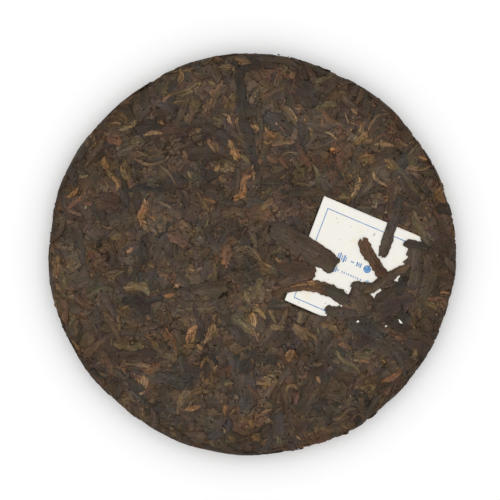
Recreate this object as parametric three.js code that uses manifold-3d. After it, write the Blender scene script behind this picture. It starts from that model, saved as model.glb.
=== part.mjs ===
// A pressed pu erh tea cake: a round disc of tea leaves with a paper ticket in its face, held down by the
// leaves that lie over it. Millimetres, +Z up, origin at the centre of the base.
import * as THREE from "three";
import { mergeVertices } from "three/addons/utils/BufferGeometryUtils.js";
import Module from "manifold-3d";

const wasm = await Module();
wasm.setup();

// Driving dimensions of the pressed disc, without the leaves that stand proud of it.
const CAKE = {
  radius: 99, // to the widest line of the rim
  thickness: 22.5, // to the middle of the face
  widestHeight: 8.5, // of the widest line above the base
  baseHeight: 0.6, // of the flat base above what the leaves under it stand on
  faceFlatness: 3.2, // power that keeps the middle of the face flat
  shoulderRoundness: 1.9, // power that rounds the face down into the rim
  footRadius: 88, // where the flat base turns up into the rim
  hollowRadius: 25, // of the hollow that the knot of the pressing bag leaves in the base
  hollowDepth: 11,
  hollowFlatness: 2.4,
  hollowLip: 1.2,
};
const CORE_SEGMENTS = 60; // round the axis
const CORE_STEPS = { face: 9, foot: 3, flat: 4, hollow: 4 }; // facets along each stretch of the profile
const CHART_STEPS = { face: 40, foot: 16, flat: 16, hollow: 20 }; // the same where the strips are laid

// How far the rim swells out and in round the cake: waves round it, height in mm, turn in degrees.
const RIM_WAVES = [
  { waves: 2, height: 0.75, turn: 11 },
  { waves: 4, height: 0.35, turn: -15 },
  { waves: 5, height: 0.14, turn: -87 },
  { waves: 7, height: 0.3, turn: 28 },
  { waves: 10, height: 0.16, turn: -99 },
  { waves: 13, height: 0.16, turn: 60 },
  { waves: 21, height: 0.12, turn: 154 },
];
const LUMP_HEIGHT = 0.35; // of the broad lumps all over the disc
const LUMP_LENGTH = 27; // from one lump to the next
const CORE_MARGIN = 5; // kept smooth round the ticket
const CORE_ROUGHNESS = 0.35; // how far the corners of the disc's facets stand in and out of its smooth skin

// The leaf strips that show in the surface. Sizes fall from the first of a spread to its last.
const LEAF = { stations: 3, sunk: 1.2, crown: 0.4, ragged: 0.16, endSlope: 0.12 };
const FACE_LEAVES = { count: 68, reach: 117, length: [30, 13], width: [9, 4.4], lift: [0.6, 1.1] };
const BASE_LEAVES = { count: 30, reach: 101, length: [28, 13], width: [8.5, 4.5], lift: [0.7, 1.1] };
const MOST_BEND = 1.1; // radians that a strip turns from end to end
const TURN_STEP = Math.PI * (3 - Math.sqrt(5)); // golden angle, which spreads the strips evenly

// The paper ticket, as seen from above. It lies in a slot under the leaves that cross it.
const TICKET = {
  width: 53,
  height: 55,
  corner: new THREE.Vector2(35.9, 28.6),
  heading: THREE.MathUtils.degToRad(-23.3),
  depth: 0.45, // of its underside below the face
  paper: 0.3, // thickness
  clearance: 0.3, // beside and below it
  headroom: 0.45, // of the slot above the face, under the strips
  columns: 6,
  rows: 6,
};

// The strips that cross the ticket: both ends as seen from above, width, and turn from end to end.
const CROSSING_STRIPS = [
  { from: [17, 6.8], to: [41, -6.4], width: 11, bend: -0.1 }, // broad leaf that comes in from the left
  { from: [12, -19.2], to: [49, -23.4], width: 4.8, bend: -0.85 }, // long stalk over the lower left corner
  { from: [71, 19.5], to: [63.6, -1], width: 4.4, bend: -0.35 }, // upright strip over the upper edge
  { from: [54.4, 6.6], to: [65.6, -11.6], width: 5.2, bend: 0.25 }, // reddish strip right of the middle
  { from: [56.4, -16.4], to: [78.8, -4.6], width: 4.4, bend: -0.3 },
  { from: [74.8, 4.8], to: [89, 3], width: 3.8, bend: -0.2 },
  { from: [83, 6], to: [79.8, -16], width: 8.4, bend: -0.15 },
  { from: [78.4, -5], to: [70.8, -23], width: 4.6, bend: 0.3 },
  { from: [49.6, -14.6], to: [61.4, -20], width: 5.6, bend: -0.5 },
  { from: [53.4, -16.2], to: [51.6, -40], width: 12, bend: 0.2 },
  { from: [59, -25.6], to: [76, -18], width: 7.5, bend: 0.4 },
  { from: [36, -27.6], to: [56, -27], width: 5.6, bend: 0.1 },
  { from: [35, -31.6], to: [64, -43.6], width: 7.5, bend: 0.15 },
  { from: [63.6, -24], to: [61, -46], width: 10, bend: 0.3 },
  { from: [70, -18], to: [73.4, -40], width: 9.5, bend: -0.3 },
  { from: [82, -9], to: [76, -34], width: 9, bend: -0.2 },
];
const CROSSING_LIFT = 1.05;

const SEED = 357;

// Repeatable random numbers from 0 to 1.
function seededRandom(seed) {
  let state = seed;
  return () => {
    state = (state + 0x6d2b79f5) | 0;
    let mixed = Math.imul(state ^ (state >>> 15), 1 | state);
    mixed = (mixed + Math.imul(mixed ^ (mixed >>> 7), 61 | mixed)) ^ mixed;
    return ((mixed ^ (mixed >>> 14)) >>> 0) / 4294967296;
  };
}
const random = seededRandom(SEED);
const between = (low, high) => THREE.MathUtils.lerp(low, high, random());

// Height of the domed face at a distance from the axis.
function faceHeight(radius) {
  const share = Math.min(radius / CAKE.radius, 1) ** CAKE.faceFlatness;
  const rise = (1 - share) ** (1 / CAKE.shoulderRoundness);
  return CAKE.widestHeight + (CAKE.thickness - CAKE.widestHeight) * rise;
}

// Height of the underside, with its hollow, its flat ring and the quarter oval up to the rim.
function baseHeight(radius) {
  if (radius < CAKE.hollowRadius) {
    const share = (radius / CAKE.hollowRadius) ** CAKE.hollowFlatness;
    return CAKE.baseHeight + CAKE.hollowDepth * (1 - share) ** CAKE.hollowLip;
  }
  const out = Math.max(radius - CAKE.footRadius, 0) / (CAKE.radius - CAKE.footRadius);
  const rise = 1 - Math.sqrt(Math.max(1 - out * out, 0));
  return CAKE.baseHeight + (CAKE.widestHeight - CAKE.baseHeight) * rise;
}

// The disc's profile as (radius, height), from the middle of the face round the rim to the middle of the base.
function cakeProfile(steps) {
  const footWidth = CAKE.radius - CAKE.footRadius;
  const flatWidth = CAKE.footRadius - CAKE.hollowRadius;
  const stretch = (count, radiusAt, heightAt) =>
    [...Array(count).keys()].map((i) => {
      const radius = radiusAt(i / count);
      return new THREE.Vector2(radius, heightAt(radius));
    });
  return [
    ...stretch(steps.face, (t) => CAKE.radius * Math.sin((t * Math.PI) / 2), faceHeight),
    ...stretch(steps.foot, (t) => CAKE.footRadius + footWidth * Math.cos((t * Math.PI) / 2), baseHeight),
    ...stretch(steps.flat, (t) => CAKE.footRadius - flatWidth * t, baseHeight),
    ...stretch(steps.hollow, (t) => CAKE.hollowRadius * (1 - t), baseHeight),
    new THREE.Vector2(0, baseHeight(0)),
  ];
}

// How far the rim stands out of a true circle, towards an angle.
function rimSwell(angle) {
  const heights = RIM_WAVES.map(
    ({ waves, height, turn }) => height * Math.cos(waves * angle + THREE.MathUtils.degToRad(turn)),
  );
  return heights.reduce((sum, height) => sum + height, 0);
}

// Moves a point of the true round disc to where the uneven cake has it, never below the base.
function settle(point) {
  const share = Math.hypot(point.x, point.y) / CAKE.radius;
  const swell = 1 + (rimSwell(Math.atan2(point.y, point.x)) / CAKE.radius) * share * share;
  const lumps = Math.sin(point.x / (LUMP_LENGTH / 6)) * Math.cos(point.y / (LUMP_LENGTH / 5));
  const height = point.z + LUMP_HEIGHT * lumps * (point.z / CAKE.thickness);
  return new THREE.Vector3(point.x * swell, point.y * swell, Math.max(height, 0));
}

// Flattens the disc's skin into a plane: a point's distance from the chart's middle is measured along the
// profile, so that a strip laid on the chart wraps round the rim. Its side is 1 for the face, -1 for the base.
class Chart {
  constructor(profile, side) {
    this.side = side;
    this.curve = new THREE.SplineCurve(side > 0 ? profile : [...profile].reverse());
    this.length = this.curve.getLength();
  }

  at(x, y, lift) {
    const along = Math.min(Math.hypot(x, y) / this.length, 1);
    const angle = Math.atan2(this.side * y, x);
    const { x: radius, y: height } = this.curve.getPointAt(along);
    const tangent = this.curve.getTangentAt(along);
    const out = radius - this.side * tangent.y * lift;
    const up = height + this.side * tangent.x * lift;
    return settle(new THREE.Vector3(out * Math.cos(angle), out * Math.sin(angle), up));
  }
}

// The face as seen straight from above.
const facePlan = {
  at(x, y, lift) {
    return settle(new THREE.Vector3(x, y, faceHeight(Math.hypot(x, y)) + lift));
  },
};

// A closed indexed slab: a grid of points on top, the same grid below, and walls round their border. Both
// grids are split into triangles alike. point(i, j, side) gives a vertex, with side 1 on top and 0 below.
function slab(columns, rows, point) {
  const positions = [];
  const faces = [];
  const perSide = (columns + 1) * (rows + 1);
  const vertex = (i, j, side) => (1 - side) * perSide + i * (rows + 1) + j;
  for (const side of [1, 0]) {
    for (let i = 0; i <= columns; i++) {
      for (let j = 0; j <= rows; j++) positions.push(...point(i, j, side).toArray());
    }
  }
  for (let i = 0; i < columns; i++) {
    for (let j = 0; j < rows; j++) {
      const corners = [[i, j], [i + 1, j], [i + 1, j + 1], [i, j + 1]];
      const [a, b, c, d] = corners.map(([m, n]) => vertex(m, n, 1));
      const [e, f, g, h] = corners.map(([m, n]) => vertex(m, n, 0));
      faces.push(a, b, c, a, c, d, e, g, f, e, h, g);
    }
  }
  const border = [];
  for (let i = 0; i < columns; i++) border.push([i, 0]);
  for (let j = 0; j < rows; j++) border.push([columns, j]);
  for (let i = columns; i > 0; i--) border.push([i, rows]);
  for (let j = rows; j > 0; j--) border.push([0, j]);
  border.forEach(([i, j], n) => {
    const [k, l] = border[(n + 1) % border.length];
    const [a, b, c, d] = [vertex(i, j, 0), vertex(k, l, 0), vertex(k, l, 1), vertex(i, j, 1)];
    faces.push(a, b, c, a, c, d);
  });
  const geometry = new THREE.BufferGeometry();
  geometry.setAttribute("position", new THREE.Float32BufferAttribute(positions, 3));
  return geometry.setIndex(faces);
}

// A closed geometry as a manifold-3d solid, without the flat triangles that a lathe leaves on its axis.
function solidOf(geometry) {
  const bare = new THREE.BufferGeometry();
  bare.setAttribute("position", geometry.getAttribute("position"));
  bare.setIndex(geometry.index);
  const merged = mergeVertices(bare, 1e-3);
  const faces = [];
  for (let i = 0; i < merged.index.count; i += 3) {
    const [a, b, c] = [0, 1, 2].map((k) => merged.index.getX(i + k));
    if (a !== b && b !== c && c !== a) faces.push(a, b, c);
  }
  return new wasm.Manifold(
    new wasm.Mesh({
      numProp: 3,
      vertProperties: merged.attributes.position.array,
      triVerts: new Uint32Array(faces),
    }),
  );
}

// A solid's mesh back as a geometry with flat facets.
function geometryOf(solid) {
  const { vertProperties, triVerts } = solid.getMesh();
  const geometry = new THREE.BufferGeometry();
  geometry.setAttribute("position", new THREE.BufferAttribute(vertProperties, 3));
  geometry.setIndex(new THREE.BufferAttribute(triVerts, 1));
  const facets = geometry.toNonIndexed();
  facets.computeVertexNormals();
  return facets;
}

// A number from -1 to 1 that looks random from place to place, and falls to 0 at the axis, where facets crowd.
function scatter({ x, y, z }) {
  const fall = Math.min(Math.hypot(x, y) / CAKE.radius, 1);
  return fall * Math.sin(12.9 * x + 78.2 * y + z);
}

// The pressed disc itself, turned on a lathe and then made uneven.
function coreSolid() {
  const rings = cakeProfile(CORE_STEPS).reverse();
  const geometry = new THREE.LatheGeometry(rings, CORE_SEGMENTS).rotateX(Math.PI / 2);
  const positions = geometry.getAttribute("position");
  const normals = geometry.getAttribute("normal");
  const onTicket = (x, y) => outsideTicket(x, y) < CORE_MARGIN;
  for (let i = 0; i < positions.count; i++) {
    const corner = new THREE.Vector3().fromBufferAttribute(positions, i);
    const roughness = onTicket(corner.x, corner.y) ? 0 : CORE_ROUGHNESS * scatter(corner);
    corner.addScaledVector(new THREE.Vector3().fromBufferAttribute(normals, i), roughness);
    positions.setXYZ(i, ...settle(corner).toArray());
  }
  return solidOf(geometry);
}

// A leaf strip laid on a chart along an arc. Its ragged top stands proud of the disc, with a crown along
// its middle, and its underside is sunk in the disc.
function leafStrip(chart, { x, y, heading, length, width, bend, lift }) {
  const edges = [...Array(LEAF.stations + 1)].map(() => [
    between(1 - LEAF.ragged, 1 + LEAF.ragged),
    0,
    between(1 - LEAF.ragged, 1 + LEAF.ragged),
  ]);
  const curvature = (Math.abs(bend) > 0.01 ? bend : 0.01) / length;
  const point = (i, j, side) => {
    const along = i / LEAF.stations;
    const turned = heading + curvature * length * (along - 0.5);
    const across = (j - 1) * (width / 2) * edges[i][j] * Math.sin(Math.PI * (0.14 + 0.72 * along));
    const lineX = x + (Math.sin(turned) - Math.sin(heading)) / curvature;
    const lineY = y - (Math.cos(turned) - Math.cos(heading)) / curvature;
    const crown = j === 1 ? LEAF.crown : 0;
    const ends = LEAF.endSlope * Math.abs(2 * along - 1);
    const height = side ? lift + crown - ends : -LEAF.sunk;
    return chart.at(lineX - across * Math.sin(turned), lineY + across * Math.cos(turned), height);
  };
  return solidOf(slab(LEAF.stations, 2, point));
}

// Strips spread evenly over a chart on a golden-angle spiral, the largest ones interleaved with the others.
function spreadStrips(chart, { count, reach, length, width, lift }, isFree) {
  const strips = [];
  for (let i = 0; i < count; i++) {
    const distance = reach * Math.sqrt((i + 0.5) / count);
    const angle = i * TURN_STEP;
    const rank = (i * (Math.sqrt(5) - 1)) % 1;
    const strip = {
      x: distance * Math.cos(angle),
      y: distance * Math.sin(angle),
      heading: between(0, Math.PI),
      length: THREE.MathUtils.lerp(...length, rank) * between(0.9, 1.1),
      width: THREE.MathUtils.lerp(...width, rank) * between(0.85, 1.15),
      bend: between(-MOST_BEND, MOST_BEND),
      lift: between(...lift),
    };
    if (isFree(strip)) strips.push(leafStrip(chart, strip));
  }
  return strips;
}

// The strips that cross the ticket, placed by their ends.
function crossingStrips() {
  return CROSSING_STRIPS.map(({ from, to, width, bend }) => {
    const start = new THREE.Vector2(...from);
    const chord = new THREE.Vector2(...to).sub(start);
    const middle = start.clone().addScaledVector(chord, 0.5);
    const sideways = new THREE.Vector2(chord.y, -chord.x).multiplyScalar(bend / 8);
    return leafStrip(facePlan, {
      x: middle.x + sideways.x,
      y: middle.y + sideways.y,
      heading: chord.angle(),
      length: chord.length() * (1 + (bend * bend) / 24),
      width,
      bend,
      lift: CROSSING_LIFT,
    });
  });
}

// A point of the ticket as seen from above, from its upper left corner: right along its width, down its height.
function ticketPoint(right, down) {
  return new THREE.Vector2(right, -down).rotateAround(new THREE.Vector2(), TICKET.heading).add(TICKET.corner);
}

// A slab of the ticket's outline, grown by a margin beside and below, up to a height over the face.
function ticketSlab(margin, top) {
  const width = TICKET.width + 2 * margin;
  const height = TICKET.height + 2 * margin;
  return slab(TICKET.rows, TICKET.columns, (i, j, side) => {
    const down = (height * i) / TICKET.rows - margin;
    const right = (width * j) / TICKET.columns - margin;
    const { x, y } = ticketPoint(right, down);
    return facePlan.at(x, y, side ? top : -TICKET.depth - margin);
  });
}

// How far outside the ticket a point lies, as seen from above.
function outsideTicket(x, y) {
  const local = new THREE.Vector2(x, y).sub(TICKET.corner);
  local.rotateAround(new THREE.Vector2(), -TICKET.heading);
  const right = Math.max(-local.x, local.x - TICKET.width, 0);
  const down = Math.max(local.y, -local.y - TICKET.height, 0);
  return Math.hypot(right, down);
}

// The disc, its strips and the ticket's slot in one solid, without loose scraps or sealed hollows.
function cakeSolid() {
  const profile = cakeProfile(CHART_STEPS);
  const face = new Chart(profile, 1);
  const base = new Chart(profile, -1);
  const pieces = [
    coreSolid(),
    ...spreadStrips(face, FACE_LEAVES, ({ x, y, length }) => outsideTicket(x, y) > length / 2),
    ...spreadStrips(base, BASE_LEAVES, () => true),
    ...crossingStrips(),
  ];
  const slot = solidOf(ticketSlab(TICKET.clearance, TICKET.headroom));
  const slotted = wasm.Manifold.union(pieces).subtract(slot);
  return slotted.decompose().reduce((most, next) => (next.volume() > most.volume() ? next : most));
}

function namedMesh(name, geometry, finish) {
  const mesh = new THREE.Mesh(geometry, new THREE.MeshStandardMaterial(finish));
  mesh.name = name;
  return mesh;
}

const TEA_FINISH = { color: 0x4e4135, roughness: 0.85, metalness: 0 };
const PAPER_FINISH = { color: 0xeeebe2, roughness: 0.9, metalness: 0 };

const teaCake = new THREE.Group();
teaCake.add(namedMesh("tea_cake", geometryOf(cakeSolid()), TEA_FINISH));
teaCake.add(namedMesh("paper_ticket", ticketSlab(0, TICKET.paper - TICKET.depth), PAPER_FINISH));

export default teaCake;
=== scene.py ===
"""Looks of a pressed pu erh tea cake: thousands of pressed leaves, and the paper ticket among them.

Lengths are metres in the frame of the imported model, with +Z out of the domed face and the origin at the
centre of the base. Sizes of leaves are given in millimetres and turned into metres where they are used.
"""
import logging
import math
from collections.abc import Iterable
from dataclasses import dataclass, field
from enum import Enum, IntEnum
from typing import ClassVar, Self

import bpy
import numpy as np
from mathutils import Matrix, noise


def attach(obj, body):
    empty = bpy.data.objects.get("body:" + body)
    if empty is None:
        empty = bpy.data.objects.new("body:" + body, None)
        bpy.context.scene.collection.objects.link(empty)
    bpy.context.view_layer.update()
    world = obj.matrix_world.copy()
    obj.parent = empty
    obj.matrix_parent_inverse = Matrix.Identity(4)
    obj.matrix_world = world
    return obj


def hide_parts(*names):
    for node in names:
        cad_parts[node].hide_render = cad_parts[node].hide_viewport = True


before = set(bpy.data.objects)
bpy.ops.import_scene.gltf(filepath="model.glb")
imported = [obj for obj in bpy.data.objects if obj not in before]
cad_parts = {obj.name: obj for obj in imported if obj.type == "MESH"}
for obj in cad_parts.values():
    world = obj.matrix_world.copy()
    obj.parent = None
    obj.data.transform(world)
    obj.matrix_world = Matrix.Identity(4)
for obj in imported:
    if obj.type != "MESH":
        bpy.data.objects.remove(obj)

MM = 0.001
BODY = "root"
TEA_NODE = "tea_cake"
TICKET_NODE = "paper_ticket"
TEA_SLOT = "pressed_tea"
PAPER_SLOT = "ticket_paper"

log = logging.getLogger("tea_cake")

Colour = tuple[float, float, float]  # as displayed, from 0 to 255
Linear = tuple[float, float, float, float]  # as a shader takes it, with alpha
Triple = tuple[float, float, float]
Faces = list[tuple[int, ...]]
Array = np.ndarray
Material = bpy.types.Material
Mesh = bpy.types.Mesh
Node = bpy.types.Node
Object = bpy.types.Object
Socket = bpy.types.NodeSocket
Tree = bpy.types.NodeTree


# ---------------------------------------------------------------------------------------------------------
# Node trees written as formulas


def linear(colour: Colour) -> Linear:
    """Turns a display colour into the linear one that a shader takes.

    Args:
        colour: Red, green and blue from 0 to 255.

    Returns:
        Red, green, blue and alpha from 0 to 1.
    """
    shares = [part / 255 for part in colour]
    parts = [share / 12.92 if share <= 0.04045 else ((share + 0.055) / 1.055) ** 2.4 for share in shares]
    return (*parts, 1.0)


def socket_named(sockets: bpy.types.bpy_prop_collection, name: str) -> Socket:
    """Finds the socket of a name that is in use, because some nodes have one for each kind of value."""
    return next(found for found in sockets if found.enabled and found.name == name)


def wire(tree: Tree, socket: Socket, value: object) -> None:
    """Feeds a socket.

    Args:
        tree: The tree that it is in.
        socket: An input of a node.
        value: A field, another socket or a plain value.
    """
    if isinstance(value, Field):
        value = value.socket
    if isinstance(value, Socket):
        tree.links.new(value, socket)
    else:
        socket.default_value = value


def add_node(tree: Tree, kind: str, settings: dict | None = None, **inputs: object) -> Node:
    """Adds a node to a tree.

    Args:
        tree: The tree that gets the node.
        kind: Blender's name of the node's type.
        settings: The node's own properties, by name.
        **inputs: Its inputs by name, with underscores for spaces.

    Returns:
        The new node.
    """
    made = tree.nodes.new(kind)
    for name, value in (settings or {}).items():
        setattr(made, name, value)
    for name, value in inputs.items():
        wire(tree, socket_named(made.inputs, name.replace("_", " ")), value)
    return made


@dataclass(frozen=True)
class Field:
    """A number that varies over a surface, as an output of a node tree. Sums with it add math nodes."""

    tree: Tree
    socket: Socket
    node_kind: ClassVar[str] = "ShaderNodeMath"

    def math(self, operation: str, *others: object) -> Self:
        """Adds a math node.

        Args:
            operation: Blender's name of the sum.
            *others: What it takes after this value.

        Returns:
            The result, which is a value of the same kind.
        """
        made = add_node(self.tree, self.node_kind, {"operation": operation})
        for socket, value in zip(made.inputs, (self, *others)):
            wire(self.tree, socket, value)
        return type(self)(self.tree, made.outputs[0])

    def __add__(self, other: object) -> Self:
        """The sum of both."""
        return self.math("ADD", other)

    def __sub__(self, other: object) -> Self:
        """This value less the other."""
        return self.math("SUBTRACT", other)

    def __rsub__(self, other: object) -> Self:
        """The other value less this one."""
        return self.math("MULTIPLY_ADD", -1.0, other)

    def __mul__(self, other: object) -> Self:
        """The product of both."""
        return self.math("MULTIPLY", other)

    def __pow__(self, other: object) -> Self:
        """This number to a power."""
        return self.math("POWER", other)

    def __abs__(self) -> Self:
        """This value without its sign."""
        return self.math("ABSOLUTE")

    def at_least(self, other: object) -> Self:
        """The greater of both."""
        return self.math("MAXIMUM", other)

    def swing(self, amount: object) -> Self:
        """How far this noise is from its middle, times an amount."""
        return (self - 0.5) * amount

    def clamped(self) -> Self:
        """This number, kept from 0 to 1."""
        made = self + 0.0
        made.socket.node.use_clamp = True
        return made

    def ramp(self, start: float, end: float) -> "Field":
        """A smooth change of this number.

        Args:
            start: Where it is 0.
            end: Where it is 1, which may be the lower of the two.

        Returns:
            A number from 0 to 1.
        """
        smooth = {"interpolation_type": "SMOOTHSTEP"}
        made = add_node(self.tree, "ShaderNodeMapRange", smooth, Value=self, From_Min=start, From_Max=end)
        return Field(self.tree, made.outputs[0])

    def blend(self, first: object, second: object, kind: str = "MIX") -> "Arrow":
        """Mixes two colours.

        Args:
            first: The colour where this number is 0, as a field or as four numbers.
            second: The colour that comes over it as this number rises to 1.
            kind: How the second is laid over the first.

        Returns:
            The mixed colour.
        """
        blending = {"data_type": "RGBA", "blend_type": kind}
        made = add_node(self.tree, "ShaderNodeMix", blending, Factor=self, A=first, B=second)
        return Arrow(self.tree, socket_named(made.outputs, "Result"))


@dataclass(frozen=True)
class Arrow(Field):
    """A vector or a colour that varies over a surface."""

    node_kind: ClassVar[str] = "ShaderNodeVectorMath"

    def __mul__(self, factor: object) -> "Arrow":
        """Scales this vector.

        Args:
            factor: One number, or a vector or three numbers with a factor for each part.

        Returns:
            The scaled vector.
        """
        if isinstance(factor, (Arrow, tuple)):
            return self.math("MULTIPLY", factor)
        made = add_node(self.tree, self.node_kind, {"operation": "SCALE"})
        wire(self.tree, made.inputs[0], self)
        wire(self.tree, made.inputs["Scale"], factor)
        return Arrow(self.tree, made.outputs[0])

    def parts(self) -> tuple[Field, ...]:
        """Its three numbers."""
        made = add_node(self.tree, "ShaderNodeSeparateXYZ", Vector=self)
        return tuple(Field(self.tree, output) for output in made.outputs)

    def noise_node(self, scale: object, detail: float, rough: float) -> Node:
        """The node that makes noise at this place, with a number and a colour of it."""
        settings = {"Scale": scale, "Detail": detail, "Roughness": rough}
        return add_node(self.tree, "ShaderNodeTexNoise", Vector=self, **settings)

    def noise(self, scale: object, detail: float = 2.0, rough: float = 0.5) -> Field:
        """Smooth noise of about 0.5 give or take 0.3, with its finer layers and how strong those are."""
        return Field(self.tree, self.noise_node(scale, detail, rough).outputs[0])

    def drifted(self, scale: float, detail: float, rough: float, reach: float) -> "Arrow":
        """This place moved about by noise of the same three numbers, as far as the reach in metres."""
        return self + Arrow(self.tree, self.noise_node(scale, detail, rough).outputs["Color"]) * reach

    def cells(self, scale: float, feature: str = "F1") -> Node:
        """The node that parts space into cells, about as many for each unit of the place as the scale."""
        return add_node(self.tree, "ShaderNodeTexVoronoi", {"feature": feature}, Vector=self, Scale=scale)


def arrow_of(tree: Tree, x: object, y: object, z: object) -> Arrow:
    """Joins three numbers into a vector."""
    return Arrow(tree, add_node(tree, "ShaderNodeCombineXYZ", X=x, Y=y, Z=z).outputs[0])


class Surface:
    """A material in the making, whose parts are formulas of the place on its piece."""

    def __init__(self, name: str) -> None:
        """Starts the material with its plain shader.

        Args:
            name: The finish's name.
        """
        self.material = bpy.data.materials.new(name)
        self.material.use_nodes = True
        self.tree = self.material.node_tree
        self.place = Arrow(self.tree, add_node(self.tree, "ShaderNodeTexCoord").outputs["Object"])

    def stored(self, name: str) -> Node:
        """The node that reads what the mesh keeps for each point under a name."""
        return add_node(self.tree, "ShaderNodeAttribute", {"attribute_name": name})

    def number(self, name: str) -> Field:
        """A number that the mesh keeps."""
        return Field(self.tree, self.stored(name).outputs["Fac"])

    def vector(self, name: str) -> Arrow:
        """A vector that the mesh keeps."""
        return Arrow(self.tree, self.stored(name).outputs["Vector"])

    def shades(self, share: Field, *stops: tuple[float, Colour]) -> Arrow:
        """A colour that goes from one shade to the next.

        Args:
            share: The number that picks the shade.
            *stops: The shades in order, each with the number that it belongs to.

        Returns:
            The shade.
        """
        made = self.tree.nodes.new("ShaderNodeValToRGB")
        elements = made.color_ramp.elements
        for position, _ in stops[1:-1]:
            elements.new(position)
        for element, (position, colour) in zip(elements, stops):
            element.position = position
            element.color = linear(colour)
        wire(self.tree, made.inputs[0], share)
        return Arrow(self.tree, made.outputs[0])

    def relief(self, height: Field, depth: float, strength: float = 1.0) -> Arrow:
        """The direction that the surface faces with fine relief, whose height is a share of its depth."""
        made = add_node(self.tree, "ShaderNodeBump", Strength=strength, Distance=depth, Height=height)
        return Arrow(self.tree, made.outputs[0])

    def dressed(self, **inputs: object) -> Material:
        """Feeds the shader.

        Args:
            **inputs: Its inputs by name, with underscores for spaces.

        Returns:
            The finished material.
        """
        shader = self.tree.nodes["Principled BSDF"]
        for name, value in inputs.items():
            wire(self.tree, shader.inputs[name.replace("_", " ")], value)
        return self.material


# ---------------------------------------------------------------------------------------------------------
# Meshes


def smooth_mesh(name: str, points: Array, faces: Faces, smooth: list[bool] | None = None) -> Mesh:
    """Makes a mesh.

    Args:
        name: Its name.
        points: One row for each point.
        faces: The numbers of each face's points.
        smooth: Whether each face is shaded smooth. Without it all of them are.

    Returns:
        The mesh.
    """
    mesh = bpy.data.meshes.new(name)
    mesh.from_pydata(points.tolist(), [], faces)
    mesh.polygons.foreach_set("use_smooth", smooth or [True] * len(faces))
    mesh.update()
    return mesh


def linked_object(name: str, mesh: Mesh, *materials: Material) -> Object:
    """Puts a mesh into the scene.

    Args:
        name: The object's name.
        mesh: Its mesh.
        *materials: The finishes that the mesh gets.

    Returns:
        The object.
    """
    for material in materials:
        mesh.materials.append(material)
    made = bpy.data.objects.new(name, mesh)
    bpy.context.scene.collection.objects.link(made)
    return made


def rows_of(items: bpy.types.bpy_prop_collection, name: str) -> Array:
    """Reads a vector of each item of a mesh.

    Args:
        items: Its points, or its directions at them.
        name: The vector's name.

    Returns:
        One row for each item.
    """
    flat = np.empty(len(items) * 3, np.float32)
    items.foreach_get(name, flat)
    return flat.reshape(-1, 3)


def points_of(mesh: Mesh) -> Array:
    """A mesh's points, one row each."""
    return rows_of(mesh.vertices, "co").astype(float)


def normals_of(mesh: Mesh) -> Array:
    """Which way a mesh faces at its points, one row each."""
    return rows_of(mesh.vertex_normals, "vector")


def set_points(mesh: Mesh, points: Array) -> None:
    """Moves a mesh's points."""
    mesh.vertices.foreach_set("co", points.astype(np.float32).ravel())
    mesh.update()


def store(mesh: Mesh, name: str, values: Array) -> None:
    """Keeps a value for each point of a mesh, where its material reads it.

    Args:
        mesh: The mesh.
        name: The name that the values get.
        values: A number or a row of three for each point.
    """
    is_vector = values.ndim == 2
    kept = mesh.attributes.new(name, "FLOAT_VECTOR" if is_vector else "FLOAT", "POINT")
    kept.data.foreach_set("vector" if is_vector else "value", values.astype(np.float32).ravel())


@dataclass
class Gathering:
    """Closed parts that are gathered into one mesh."""

    points: list[Array] = field(default_factory=list)
    faces: Faces = field(default_factory=list)
    count: int = 0

    def add(self, points: Array, faces: Faces) -> None:
        """Adds a part.

        Args:
            points: Its points, one row each.
            faces: Its faces, which count from its own first point.
        """
        self.faces += [tuple(self.count + corner for corner in face) for face in faces]
        self.points.append(points)
        self.count += len(points)

    def mesh(self, name: str, smooth: list[bool] | None = None) -> Mesh:
        """The mesh of all the parts, with each face smooth where that says so."""
        return smooth_mesh(name, np.concatenate(self.points), self.faces, smooth)


# ---------------------------------------------------------------------------------------------------------
# The disc


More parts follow.
